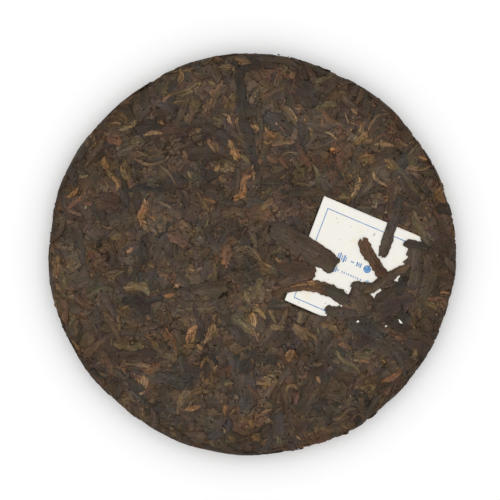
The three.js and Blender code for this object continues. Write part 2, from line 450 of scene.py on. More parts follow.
@dataclass(frozen=True)
class CakeShape:
    """The smooth disc that the leaves are pressed into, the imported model's disc without its strips."""

    radius: float = 99.75 * MM
    thickness: float = 22.5 * MM
    widest_height: float = 8.5 * MM
    base_at: float = 0.6 * MM
    face_flatness: float = 3.2
    shoulder_roundness: float = 1.9
    foot_radius: float = 88 * MM
    hollow_radius: float = 25 * MM
    hollow_depth: float = 11 * MM
    hollow_flatness: float = 2.4
    hollow_lip: float = 1.2
    lump_height: float = 0.35 * MM
    lump_spans: tuple[float, float] = (4.5 * MM, 5.4 * MM)
    # The rim's unevenness: how many waves go round, their height in mm and their turn in degrees.
    rim_waves: tuple[tuple[int, float, float], ...] = (
        (1, 0.45, 50), (2, 0.75, 11), (4, 0.35, -15), (5, 0.14, -87),
        (7, 0.3, 28), (10, 0.16, -99), (13, 0.16, 60), (21, 0.12, 154),
    )
    normal_step: float = 0.2 * MM

    def face_height(self, radius: Array) -> Array:
        """Height of the domed face.

        Args:
            radius: Distances from the axis.

        Returns:
            The height at each.
        """
        share = np.minimum(radius / self.radius, 1) ** self.face_flatness
        rise = (1 - share) ** (1 / self.shoulder_roundness)
        return self.widest_height + (self.thickness - self.widest_height) * rise

    def base_height(self, radius: Array) -> Array:
        """Height of the underside: its hollow, its flat ring and the quarter oval up to the rim.

        Args:
            radius: Distances from the axis.

        Returns:
            The height at each.
        """
        share = np.minimum(radius / self.hollow_radius, 1) ** self.hollow_flatness
        hollow = self.hollow_depth * (1 - share) ** self.hollow_lip
        out = np.maximum(radius - self.foot_radius, 0) / (self.radius - self.foot_radius)
        rise = 1 - np.sqrt(np.maximum(1 - out * out, 0))
        return self.base_at + hollow + (self.widest_height - self.base_at) * rise

    def rings(self, face: int, foot: int, flat: int, hollow: int) -> Array:
        """The profile from the middle of the face round the rim to the middle of the base.

        Args:
            face: Steps along the face.
            foot: Steps from the rim down to the flat ring.
            flat: Steps over the flat ring.
            hollow: Steps into the hollow.

        Returns:
            One row of radius and height for each ring, both ends on the axis.
        """
        outer = self.radius * np.sin(np.linspace(0, math.pi / 2, face, endpoint=False))
        quarter = np.linspace(0, math.pi / 2, foot, endpoint=False)
        under = [
            self.foot_radius + (self.radius - self.foot_radius) * np.cos(quarter),
            np.linspace(self.foot_radius, self.hollow_radius, flat, endpoint=False),
            np.linspace(self.hollow_radius, 0, hollow + 1),
        ]
        inner = np.concatenate(under)
        sides = (outer, self.face_height(outer)), (inner, self.base_height(inner))
        return np.concatenate([np.stack(side, 1) for side in sides])

    def settle(self, points: Array) -> Array:
        """Moves points of the true round disc to where the uneven cake has them.

        Args:
            points: One row for each point.

        Returns:
            The moved points.
        """
        x, y, z = points.T
        share = np.hypot(x, y) / self.radius
        angle = np.arctan2(y, x)
        swell = sum(high * MM * np.cos(n * angle + math.radians(turn)) for n, high, turn in self.rim_waves)
        grown = 1 + swell / self.radius * share * share
        lumps = np.sin(x / self.lump_spans[0]) * np.cos(y / self.lump_spans[1])
        height = z + self.lump_height * lumps * z / self.thickness
        return np.stack([x * grown, y * grown, np.maximum(height, 0)], 1)

    def face_points(self, x: Array, y: Array) -> Array:
        """The face's own points at places seen from above."""
        return self.settle(np.stack([x, y, self.face_height(np.hypot(x, y))], 1))

    def on_face(self, x: Array, y: Array, lift: Array) -> Array:
        """Points over the face.

        Args:
            x: To the right, as seen from above.
            y: Away, as seen from above.
            lift: Height over the face, square to it.

        Returns:
            One row for each point.
        """
        here = self.face_points(x, y)
        east = self.face_points(x + self.normal_step, y) - here
        north = self.face_points(x, y + self.normal_step) - here
        normal = np.cross(east, north)
        normal /= np.linalg.norm(normal, axis=1, keepdims=True)
        return here + normal * lift[:, None]

    def skin(self, name: str, segments: int, steps: tuple[int, int, int, int]) -> Mesh:
        """The disc's skin as a closed mesh.

        Args:
            name: The mesh's name.
            segments: Facets round the axis.
            steps: Facets along the face, foot, flat ring and hollow.

        Returns:
            The mesh, with smooth shading.
        """
        rings = self.rings(*steps)
        turns = np.linspace(0, 2 * math.pi, segments, endpoint=False)
        body = rings[1:-1]
        x = np.outer(body[:, 0], np.cos(turns)).ravel()
        y = np.outer(body[:, 0], np.sin(turns)).ravel()
        z = np.repeat(body[:, 1], segments)
        poles = np.array([[0, 0, rings[0, 1]], [0, 0, rings[-1, 1]]])
        points = self.settle(np.concatenate([np.stack([x, y, z], 1), poles]))
        top, bottom = len(points) - 2, len(points) - 1
        faces = []
        for low in range(0, (len(body) - 1) * segments, segments):
            high = low + segments
            for turn in range(segments):
                after = (turn + 1) % segments
                faces.append((low + turn, high + turn, high + after, low + after))
        last = (len(body) - 1) * segments
        for turn in range(segments):
            after = (turn + 1) % segments
            faces += [(top, turn, after), (bottom, last + after, last + turn)]
        return smooth_mesh(name, points, faces)


# ---------------------------------------------------------------------------------------------------------
# Finishes


@dataclass(frozen=True)
class PressedTea:
    """What all the tea of the cake shares: zones of colour, dust, and painted shade in crack lines, small
    holes and on the rim.

    Noise takes how many waves it has for each metre, how many finer layers, and how strong those are.
    """

    # The near-black painted shade in crack lines, seams and small holes.
    crevice_shade: Colour = (34, 22, 14)
    # Factors on a leaf's own colour.
    grey_zone: Linear = (0.95, 0.98, 1.01, 1.0)
    brown_zone: Linear = (1.23, 1.09, 0.91, 1.0)
    red_zone: Linear = (1.1, 0.95, 0.95, 1.0)
    cool_dust: Linear = (0.96, 1.0, 1.03, 1.0)
    warm_dust: Linear = (1.09, 1.0, 0.9, 1.0)
    violet_dust: Linear = (1.01, 0.985, 1.08, 1.0)
    mossy_dust: Linear = (0.98, 1.025, 0.94, 1.0)
    in_light: Linear = (0.99, 1.0, 1.02, 1.0)
    in_shade: Linear = (1.07, 0.99, 0.9, 1.0)
    zone_contrast: float = 0.8
    zone_light: float = 0.97
    # How the painted crack shade runs: its cell size, the bend of its lines, the width of its wider gaps and
    # its darkness.
    scrap_waves: float = 75.0
    crack_bend: float = 13 * MM
    crack_gap: float = 0.016
    crack_depth: float = 0.75
    # The light that the rim's painted shade leaves at its bottom.
    rim_light: float = 0.65

    def zone(self, seat: Arrow, place: Arrow) -> Arrow:
        """The colour that leaves of one part of the cake share: brown, grey or reddish, lighter or darker.

        Args:
            seat: Where the leaf sits, which is the same all over it.
            place: The point itself, for the dust that has worked into all the leaves alike.

        Returns:
            A colour that multiplies the leaf's own.
        """
        warmth = seat.noise(75, 2, 0.6).ramp(0.36, 0.64)
        redness = (seat + (3, 1, 2)).noise(60).ramp(0.5, 0.68)
        depth = (seat + (1, 4, 5)).noise(26, 2, 0.6)
        dust = place.noise(110, 2, 0.55).ramp(0.36, 0.64)
        moss = (place + (5, 2, 7)).noise(150, 3, 0.6).ramp(0.36, 0.64)
        leaf = redness.blend(warmth.blend(self.grey_zone, self.brown_zone), self.red_zone, "MULTIPLY")
        dusty = leaf * dust.blend(self.cool_dust, self.warm_dust)
        mossy = dusty * moss.blend(self.violet_dust, self.mossy_dust)
        return mossy * (depth.swing(self.zone_contrast) + self.zone_light)

    def lit(self, colour: Arrow, light: Field) -> Arrow:
        """A colour scaled by its light, and warmer where that is low."""
        return colour * light.ramp(0.95, 0.5).blend(self.in_light, self.in_shade) * light

    def crack_shade(self, place: Arrow) -> Field:
        """Painted shade: thin broken dark lines where scraps have parted, with wide gaps here and there.

        Args:
            place: The point on the piece.

        Returns:
            How dark the point is for them, from 0 to 1.
        """
        web = place.drifted(110, 2, 0.5, self.crack_bend).cells(self.scrap_waves, "DISTANCE_TO_EDGE")
        shown = place.noise(120, 3, 0.6).ramp(0.52, 0.6)
        wide = place.noise(self.scrap_waves).ramp(0.56, 0.7)
        line = (Field(place.tree, web.outputs["Distance"]) - wide * self.crack_gap).ramp(0.028, 0.01)
        return line * shown * self.crack_depth

    def pit_shade(self, place: Arrow) -> Field:
        """Painted shade of small holes between crumbs, from 0 to 1."""
        return place.noise(560, 2, 0.6).ramp(0.37, 0.31)

    def rim_shade(self, place: Arrow) -> Field:
        """Painted shade on the rim: how much darker it is than the face, by height over the table."""
        return place.parts()[2].ramp(8.5 * MM, 20 * MM) * (1 - self.rim_light) + self.rim_light

    def grain(self, place: Arrow) -> Field:
        """The finest noise of all tea."""
        return place.noise(1150, 3, 0.7)

    def region(self, place: Arrow) -> Field:
        """Noise that makes whole patches lighter or darker."""
        return place.noise(60, 3, 0.6)


TEA = PressedTea()


@dataclass(frozen=True)
class LeafFinish:
    """Dry pressed leaf: streaked along its fibres, folded, dusty, and with painted shade on one side of its
    fold and along one edge and its ends.
    """

    name: str
    dark: Colour
    middle: Colour
    light: Colour
    fibre: float
    bloom: float
    bloom_colour: Colour
    # How dark the painted shade along the leaf's edge gets.
    edge: float
    roughness: float = 0.62
    gloss: float = 0.1
    depth: float = 0.12 * MM
    # Waves of noise for each metre along a leaf and across it, and from one leaf to the next.
    fine_waves: Triple = (160, 1250, 700)
    coarse_waves: Triple = (80, 520, 500)
    vein_waves: Triple = (45, 420, 300)
    patch_waves: Triple = (190, 420, 300)
    # They set where each leaf's fold lies and which edge takes the painted shade.
    fold_turns: float = 371.0
    side_turns: float = 531.0

    def build(self) -> Material:
        """Builds the material, which reads the values that every leaf's mesh keeps."""
        surface = Surface(self.name)
        place = surface.place
        tint = surface.number("tint")
        fibre_at = surface.vector("fibre")
        along, across, _ = surface.vector("leaf_at").parts()
        fine = (fibre_at * self.fine_waves).noise(1, 3, 0.7)
        coarse = (fibre_at * self.coarse_waves).noise(1)
        vein = (fibre_at * self.vein_waves).noise(1, 1, 0.4)
        patch = (fibre_at * self.patch_waves).noise(1, 3, 0.65)
        grain = TEA.grain(place)
        region = TEA.region(place)

        tone = tint * 0.5 + 0.25 + coarse.swing(1.2) + region.swing(1.2)
        shade = surface.shades(tone.clamped(), (0.0, self.dark), (0.5, self.middle), (1.0, self.light))
        bloomed = (patch.ramp(0.46, 0.58) * self.bloom).blend(shade, linear(self.bloom_colour))

        # The light holds the leaf's own streaks and specks, and painted shade of the fold, edges, holes and
        # rim.
        fold = (across + coarse.swing(0.8) - (tint * self.fold_turns).math("SINE") * 0.7).ramp(-0.05, 0.05)
        side = (tint * self.side_turns).math("SINE").math("SIGN")
        border = (across * side).at_least(abs(along * 2) - 0.1)
        rim = (border + place.noise(420).swing(0.9)).ramp(0.72, 0.95)
        streak = fine.swing(2.8 * self.fibre) + grain.swing(1.15) + region.swing(0.6)
        light = (streak + 1).at_least(0.2) * (1 - fold * 0.2) * (1 - rim * self.edge)
        light = light * (abs(vein - 0.5).ramp(0.035, 0) * (0.8 * self.fibre) + 1)
        light = light * (grain.ramp(0.65, 0.75) * 1.3 + 0.99)
        light = light * (1 - TEA.pit_shade(place) * 0.7) * TEA.rim_shade(place)

        whole = TEA.lit(bloomed * TEA.zone(surface.vector("seat"), place), light)
        return surface.dressed(
            Base_Color=TEA.crack_shade(place).blend(whole, linear(TEA.crevice_shade)),
            Roughness=coarse.swing(0.4) + self.roughness,
            Specular_IOR_Level=self.gloss,
            Normal=surface.relief(fine * 1.2 + grain * 0.8 - fold * 0.8, self.depth),
        )


@dataclass(frozen=True)
class BrokenTeaFinish:
    """Broken tea pressed into one mass: torn scraps that each have their own tone and run of fibres."""

    name: str = "broken_tea"
    dark: Colour = (60, 52, 45)
    middle: Colour = (84, 72, 61)
    light: Colour = (108, 92, 74)
    fleck: Colour = (165, 143, 114)
    scraps: float = 210.0
    crumbs: float = 620.0
    scrap_bend: float = 7 * MM
    fibre_waves: Triple = (260, 1300, 600)
    roughness: float = 0.8
    gloss: float = 0.1
    depth: float = 0.3 * MM

    def build(self) -> Material:
        """Builds the material from scraps of two sizes."""
        surface = Surface(self.name)
        tree, place = surface.tree, surface.place
        bent = place.drifted(170, 3, 0.6, self.scrap_bend)
        scrap = bent.cells(self.scraps)
        seam = Field(tree, bent.cells(self.scraps, "DISTANCE_TO_EDGE").outputs["Distance"])
        crumb = bent.cells(self.crumbs)
        crumb_far = Field(tree, crumb.outputs["Distance"])
        tone, turn, _ = Arrow(tree, scrap.outputs["Color"]).parts()
        crumb_tone, pick, _ = Arrow(tree, crumb.outputs["Color"]).parts()
        scrap_at = scrap.outputs["Position"]
        angle = turn * (2 * math.pi)
        flat = {"rotation_type": "Z_AXIS"}
        turned = add_node(tree, "ShaderNodeVectorRotate", flat, Vector=bent, Center=scrap_at, Angle=angle)
        fibres = (Arrow(tree, turned.outputs[0]) * self.fibre_waves).noise(1, 3, 0.65)
        grain = TEA.grain(place)
        broken = place.noise(120).ramp(0.42, 0.6)

        tone_sum = tone.swing(0.5) + crumb_tone.swing(broken) * 0.6 + TEA.region(place).swing(1.3) + 0.5
        shade = surface.shades(tone_sum.clamped(), (0.0, self.dark), (0.5, self.middle), (1.0, self.light))
        # Painted shade in the gaps between crumbs and on the rim; the light also holds the scraps' own
        # fibres and grain.
        gap = crumb_far.ramp(0.45, 0.75) * broken
        light = (fibres.swing(1.2) + grain.swing(0.8) + 1).at_least(0.2)
        light = light * (1 - gap * 0.35) * TEA.rim_shade(place)
        whole = TEA.lit(shade * TEA.zone(Arrow(tree, scrap_at), place), light)
        flecks = pick.ramp(0.955, 0.96) * crumb_far.ramp(0.34, 0.22)
        flecked = (flecks * 0.6).blend(whole, linear(self.fleck))
        # Painted shade: torn seams, crack lines and small holes go near-black; the seams also sink in the
        # relief.
        torn = seam.ramp(0.07, 0) * place.noise(300).ramp(0.42, 0.6)
        dark = (torn * 0.5).at_least(TEA.crack_shade(place)).at_least(TEA.pit_shade(place) * 0.8)
        height = tone * 0.5 + crumb_tone * broken * 0.5 + grain * 0.6 - torn * 0.8
        return surface.dressed(
            Base_Color=dark.blend(flecked, linear(TEA.crevice_shade)),
            Roughness=self.roughness,
            Specular_IOR_Level=self.gloss,
            Normal=surface.relief(height, self.depth),
        )


@dataclass(frozen=True)
class PaperFinish:
    """Thin uncoated paper with soft fibres, faint stains and specks of tea dust."""

    name: str = "uncoated_paper"
    paper: Colour = (237, 234, 226)
    stain: Colour = (238, 224, 190)
    speck: Colour = (120, 92, 66)
    roughness: float = 0.88
    depth: float = 0.03 * MM

    def build(self) -> Material:
        """Builds the material."""
        surface = Surface(self.name)
        place = surface.place
        stains = place.noise(130, 3, 0.6).ramp(0.56, 0.8)
        specks = place.noise(800, 1, 0.4).ramp(0.735, 0.79)
        fibres = place.noise(2400, 3, 0.7)
        stained = (stains * 0.5).blend(linear(self.paper), linear(self.stain))
        specked = (specks * 0.7).blend(stained, linear(self.speck))
        return surface.dressed(
            Base_Color=specked * (fibres.swing(0.08) + 1),
            Roughness=fibres.swing(0.1) + self.roughness,
            Normal=surface.relief(fibres, self.depth, 0.5),
        )


@dataclass(frozen=True)
class InkFinish:
    """Thin blue printing ink, uneven where the paper took less of it."""

    name: str = "blue_ink"
    full: Colour = (56, 120, 184)
    worn: Colour = (152, 180, 206)
    roughness: float = 0.8

    def build(self) -> Material:
        """Builds the material."""
        surface = Surface(self.name)
        wear = surface.place.noise(1100, 3, 0.6)
        return surface.dressed(
            Base_Color=surface.shades(wear, (0.4, self.full), (0.68, self.worn)), Roughness=self.roughness
        )


# ---------------------------------------------------------------------------------------------------------
# Scattered leaves


class LeafKind(Enum):
    """The kinds of leaf that the cake is pressed from. Each is one piece of the scene."""

    BROAD = "broad_leaves"
    STRIP = "brown_strips"
    DARK = "dark_strips"
    OLIVE = "olive_leaves"
    RUSSET = "russet_leaves"
    TAN = "tan_leaves"
    BUD = "golden_buds"
    STEM = "leaf_stems"
    CRUMB = "tea_crumbs"


BROAD, STRIP, DARK, OLIVE, RUSSET, TAN, BUD, STEM, CRUMB = LeafKind


@dataclass(frozen=True)
class LeafSpec:
    """How one kind of leaf looks, how it is shaped and how densely it lies. Lengths are in millimetres."""

    kind: LeafKind
    finish: LeafFinish
    per_square_metre: float
    length: tuple[float, float]
    width: tuple[float, float]
    lift: tuple[float, float]
    seed: int
    stations: int = 10
    columns: int = 4
    thickness: float = 0.25
    crown: float = 0.15
    bluntness: float = 8.0
    bend: float = 1.5
    sway: float = 0.6
    ragged: float = 0.6


SPECS = (
    LeafSpec(
        BROAD,
        LeafFinish("broad_leaf", (60, 52, 46), (74, 64, 56), (92, 80, 69), 0.32, 0.5, (67, 62, 56), 0.12),
        6500, (10, 32), (3.6, 11), (-0.45, 0.1), 11, stations=16, columns=6,
    ),
    LeafSpec(
        STRIP,
        LeafFinish("brown_leaf", (62, 53, 44), (81, 69, 57), (104, 87, 69), 0.5, 0.35, (74, 66, 58), 0.16),
        5500, (8, 28), (1.8, 5), (-0.45, 0.1), 23, stations=14,
    ),
    LeafSpec(
        DARK,
        LeafFinish("dark_leaf", (53, 47, 41), (67, 60, 53), (83, 74, 64), 0.28, 0.5, (74, 65, 56), 0.12),
        4500, (8, 30), (2.4, 7.5), (-0.4, 0.15), 37, stations=14,
    ),
    LeafSpec(
        OLIVE,
        LeafFinish("olive_leaf", (70, 62, 49), (92, 81, 62), (120, 104, 78), 0.55, 0.7, (76, 67, 56), 0.16),
        2400, (6, 18), (2, 5.5), (-0.4, 0.15), 41,
    ),
    LeafSpec(
        RUSSET,
        LeafFinish("russet_leaf", (68, 54, 45), (88, 69, 57), (114, 87, 69), 0.5, 0.5, (78, 66, 57), 0.16),
        2400, (5, 17), (1.6, 5), (-0.4, 0.15), 53,
    ),
    LeafSpec(
        TAN,
        LeafFinish("tan_leaf", (84, 70, 53), (111, 92, 69), (140, 116, 87), 0.8, 0.7, (82, 71, 58), 0.16),
        2000, (4, 15), (1.4, 4.6), (-0.35, 0.1), 61,
    ),
    LeafSpec(
        BUD,
        LeafFinish("golden_bud", (96, 75, 56), (131, 102, 75), (166, 130, 95), 0.9, 0.5, (90, 75, 59), 0.16),
        450, (4, 10), (1.3, 2.8), (-0.1, 0.2), 67,
        stations=12, crown=0.3, bluntness=4.0, bend=1.6, sway=0.8, ragged=0.5,
    ),
    LeafSpec(
        STEM,
        LeafFinish("leaf_stem", (64, 54, 45), (84, 71, 58), (112, 93, 73), 0.5, 0.3, (76, 68, 58), 0.16),
        6000, (5, 17), (0.6, 1.4), (-0.3, 0.2), 71,
        columns=2, thickness=0.15, crown=0.25, bluntness=6.0, bend=1.3, sway=0.7, ragged=0.3,
    ),
    LeafSpec(
        CRUMB,
        LeafFinish("tea_crumb", (50, 41, 34), (82, 69, 56), (138, 115, 88), 0.5, 0.2, (78, 69, 59), 0.12),
        20000, (0.6, 2.6), (0.4, 1.5), (-0.1, 0.3), 83,
        stations=3, columns=2, thickness=0.2, crown=0.2, bluntness=3.0, bend=0.5, sway=0.2, ragged=0.5,
    ),
)


class LeafGrid:
    """The points and faces of a closed flat leaf.

    For each point, places holds how far along it is from -0.5 to 0.5, how far across from -1 to 1, and 1 on
    top or 0 below. The faces of the top come first.
    """

    def __init__(self, stations: int, columns: int, has_grid_below: bool = False) -> None:
        """Lays the points out.

        Args:
            stations: Steps along the leaf.
            columns: Steps across it.
            has_grid_below: Whether the underside has the same facets as the top, and isn't one face.
        """
        steps = np.linspace(-0.5, 0.5, stations + 1), np.linspace(-1, 1, columns + 1)
        along, across = np.meshgrid(*steps, indexing="ij")
        top = np.stack([along.ravel(), across.ravel(), np.ones(along.size)], 1)
        rows = np.arange(along.size).reshape(along.shape).tolist()
        border = [row[0] for row in rows[:-1]] + rows[-1][:-1]
        border += [row[-1] for row in rows[:0:-1]] + rows[0][:0:-1]
        quads = [
            (rows[i][j], rows[i + 1][j], rows[i + 1][j + 1], rows[i][j + 1])
            for i in range(stations)
            for j in range(columns)
        ]
        first = len(top)
        if has_grid_below:
            under = top.copy()
            low = [first + n for n in border]
            floor = [tuple(first + corner for corner in reversed(quad)) for quad in quads]
        else:
            under = top[border].copy()
            low = [first + n for n in range(len(border))]
            floor = [tuple(reversed(low))]
        under[:, 2] = 0
        walls = [(border[n - 1], low[n - 1], low[n], border[n]) for n in range(len(border))]
        self.places = np.concatenate([top, under])
        self.faces: Faces = [*quads, *walls, *floor]
        self.top_faces = len(quads)

    def smooth(self) -> list[bool]:
        """Whether each face is shaded smooth, which keeps the edge of the cut sides sharp."""
        return [number < self.top_faces for number in range(len(self.faces))]


class Draw(IntEnum):
    """What is drawn by lot for each leaf, with the number that keeps the draws apart."""

    TURN = 1
    LENGTH = 2
    WIDTH = 3
    BEND = 4
    SWAY = 5
    LIFT = 6
    TILT = 7
    TINT = 8
    LOOSENESS = 9


class LeafTree:
    """The node tree that seats leaves on the disc's skin and presses each one flush into it."""

    smallness: ClassVar[float] = 1.4  # over 1, small leaves are the more usual ones
    steepest: ClassVar[float] = 0.035
    loosest: ClassVar[tuple[float, float]] = (-0.5 * MM, 1.4 * MM)
    bundle_turns: ClassVar[float] = 12.0
    least_taper: ClassVar[float] = 0.004
    flattening: ClassVar[float] = 0.85
    own_waves: ClassVar[float] = 977.0

    def __init__(self, name: str, numbers: Iterable[str]) -> None:
        """Starts the tree with its named inputs.

        Args:
            name: The tree's name.
            numbers: The names of its sizes.
        """
        self.tree = bpy.data.node_groups.new(name, "GeometryNodeTree")
        inputs = {"Geometry": "Geometry", "Leaf": "Object", "Seed": "Int", "Material": "Material"}
        for wanted, kind in [*inputs.items(), *((number, "Float") for number in numbers)]:
            self.tree.interface.new_socket(wanted, in_out="INPUT", socket_type=f"NodeSocket{kind}")
        self.tree.interface.new_socket("Geometry", in_out="OUTPUT", socket_type="NodeSocketGeometry")
        self.given = self.tree.nodes.new("NodeGroupInput").outputs

    def node(self, kind: str, settings: dict | None = None, **inputs: object) -> Node:
        """Adds a node of one of Blender's types, with its properties and inputs."""
        return add_node(self.tree, kind, settings, **inputs)

    def number(self, name: str) -> Field:
        """A named input as a field."""
        return Field(self.tree, self.given[name])

    def between(self, low: object, high: object, draw: Draw) -> Field:
        """A number that is drawn by lot for each leaf.

        Args:
            low: The lowest that it can be.
            high: The highest that it can be.
            draw: What it is for.

        Returns:
            The number.
        """
        seed = self.number("Seed") + int(draw)
        made = self.node("FunctionNodeRandomValue", {"data_type": "FLOAT"}, Min=low, Max=high, Seed=seed)
        return Field(self.tree, socket_named(made.outputs, "Value"))

    def size(self, least: str, most: str, draw: Draw) -> Field:
        """A size between two named inputs, more often a small one."""
        low, high = self.number(least), self.number(most)
        return low + (high - low) * self.between(0, 1, draw) ** self.smallness

    def either_way(self, name: str, draw: Draw) -> Field:
        """A number up to a named input, to either side of 0."""
        return self.between(self.number(name) * -1, self.number(name), draw)

    def kept(self, geometry: Socket, **values: Field) -> Socket:
        """Keeps values on the points of a geometry.

        Args:
            geometry: The points.
            **values: The values by the names that they get.

        Returns:
            The points with the values.
        """
        for name, value in values.items():
            kind = {"data_type": "FLOAT_VECTOR" if isinstance(value, Arrow) else "FLOAT", "domain": "POINT"}
            given = {"Geometry": geometry, "Name": name, "Value": value}
            geometry = self.node("GeometryNodeStoreNamedAttribute", kind, **given).outputs[0]
        return geometry

    def read(self, name: str, kind: type[Field] = Arrow) -> Field:
        """Reads a value that the points keep.

        Args:
            name: Its name.
            kind: Field for a number, Arrow for a vector.

        Returns:
            The value.
        """
        data_type = {"data_type": "FLOAT_VECTOR" if kind is Arrow else "FLOAT"}
        made = self.node("GeometryNodeInputNamedAttribute", data_type, Name=name)
        return kind(self.tree, socket_named(made.outputs, "Attribute"))

    def on_skin(self, value: Arrow, where: Arrow) -> Arrow:
        """What the disc's skin has at its point nearest to a place.

        Args:
            value: A vector that varies over the skin.
            where: The place.

        Returns:
            The vector there.
        """
        made = self.node(
            "GeometryNodeSampleNearestSurface",
            {"data_type": "FLOAT_VECTOR"},
            Mesh=self.given["Geometry"],
            Value=value,
            Sample_Position=where,
        )
        return Arrow(self.tree, socket_named(made.outputs, "Value"))

    def seated(self) -> Socket:
        """Copies of the flat leaf, one for each seat on the skin, that keep what was drawn for them."""
        seats = self.node(
            "GeometryNodeDistributePointsOnFaces",
            {"distribute_method": "POISSON"},
            Mesh=self.given["Geometry"],
            Distance_Min=self.number("Spacing"),
            Density_Max=self.number("Density"),
            Seed=self.given["Seed"],
        )
        seat = Arrow(self.tree, self.node("GeometryNodeInputPosition").outputs[0])
        own_turn = self.between(-1, 1, Draw.TURN)
        shared_turn = seat.noise(self.number("Bundling"), 0) * self.bundle_turns
        spin = arrow_of(self.tree, 0, 0, shared_turn + own_turn * own_turn * own_turn * math.pi)
        level = seats.outputs["Rotation"]
        turned = self.node(
            "FunctionNodeRotateRotation", {"rotation_space": "LOCAL"}, Rotation=level, Rotate_By=spin
        ).outputs[0]
        axes = [
            self.node("FunctionNodeRotateVector", Vector=axis, Rotation=turned).outputs[0]
            for axis in ((1, 0, 0), (0, 1, 0))
        ]
        east, north = (Arrow(self.tree, axis) for axis in axes)
        length = self.size("Shortest", "Longest", Draw.LENGTH)
        width = self.size("Narrowest", "Widest", Draw.WIDTH)
        bend, sway = self.either_way("Bend", Draw.BEND), self.either_way("Sway", Draw.SWAY)
        height = seat.parts()[2]
        looseness = height.ramp(17 * MM, 12 * MM) * height.ramp(1 * MM, 3 * MM)
        lift = self.between(self.number("Lowest"), self.number("Highest"), Draw.LIFT)
        lift = lift + looseness * self.between(*self.loosest, Draw.LOOSENESS)
        tilt = self.between(-self.steepest, self.steepest, Draw.TILT)
        points = self.kept(
            seats.outputs["Points"],
            seat=seat,
            east=east,
            north=north,
            size=arrow_of(self.tree, length, width, bend),
            lie=arrow_of(self.tree, lift, tilt, sway),
            tint=self.between(0, 1, Draw.TINT),
        )
        leaf = self.node("GeometryNodeObjectInfo", Object=self.given["Leaf"]).outputs["Geometry"]
        copies = self.node("GeometryNodeInstanceOnPoints", Points=points, Instance=leaf).outputs[0]
        return self.node("GeometryNodeRealizeInstances", Geometry=copies).outputs[0]

    def pressed(self, leaves: Socket) -> Socket:
        """Gives each leaf its outline and presses it into the skin.

        Args:
            leaves: The flat leaves, with what was drawn for them.

        Returns:
            The shaped leaves, which also keep where each point is along their fibres.
        """
        number = self.number
        along, across, is_top = self.read("leaf_at").parts()
        length, width, bend = self.read("size").parts()
        lift, tilt, sway = self.read("lie").parts()
        own = self.read("tint", Field) * self.own_waves
        run = along * length
        side_place = arrow_of(self.tree, run * 260, across.math("SIGN") * 3 + own, own)
        end_place = arrow_of(self.tree, across * 1.8, own, along.math("SIGN") * 5)
        torn_end = end_place.noise(1, 2, 0.6)
        taper = (1 - abs(along * 2) ** number("Bluntness")).at_least(self.least_taper) ** 0.6
        lean = own.math("SINE") * along * 0.8 + 1
        half = width * 0.5 * taper * lean * (side_place.noise(1, 3, 0.6).swing(number("Ragged") * 3) + 1)
        forward = run * (1 - (bend * along) ** 2 * 0.1667) + run * (torn_end - 0.5) * 1.3
        aside = length * (bend * along**2 * 0.5 + sway * (along**3 * 2 - along * 0.5))
        heading = bend * along + sway * (along**2 * 6 - 0.5)
        side = half * across
        flat = (
            self.read("seat")
            + self.read("east") * (forward - side * heading.math("SINE"))
            + self.read("north") * (aside + side * heading.math("COSINE"))
        )
        wave = (flat + arrow_of(self.tree, own, own, 0)).noise(210)
        top = number("Thickness") + number("Crown") * (1 - across**2) + wave.swing(number("Waviness"))
        top = top + tilt * (run + side * 2) - abs(along * 2) ** 4 * number("End dip")
        risen = lift + top
        pressed_top = risen - (risen - number("Press")).at_least(0) * self.flattening
        height = pressed_top * is_top + (lift - number("Sunk")) * (1 - is_top)
        skin_place = Arrow(self.tree, self.node("GeometryNodeInputPosition").outputs[0])
        place = self.on_skin(skin_place, flat) + self.on_skin(self.read("skin_normal"), flat) * height
        moved = self.node("GeometryNodeSetPosition", Geometry=leaves, Position=place).outputs[0]
        return self.kept(moved, fibre=arrow_of(self.tree, run, side, own))

    def build(self) -> Tree:
        """Wires the whole tree."""
        shaped = self.pressed(self.seated())
        dressed = self.node("GeometryNodeSetMaterial", Geometry=shaped, Material=self.given["Material"])
        self.tree.links.new(dressed.outputs[0], self.tree.nodes.new("NodeGroupOutput").inputs[0])
        return self.tree


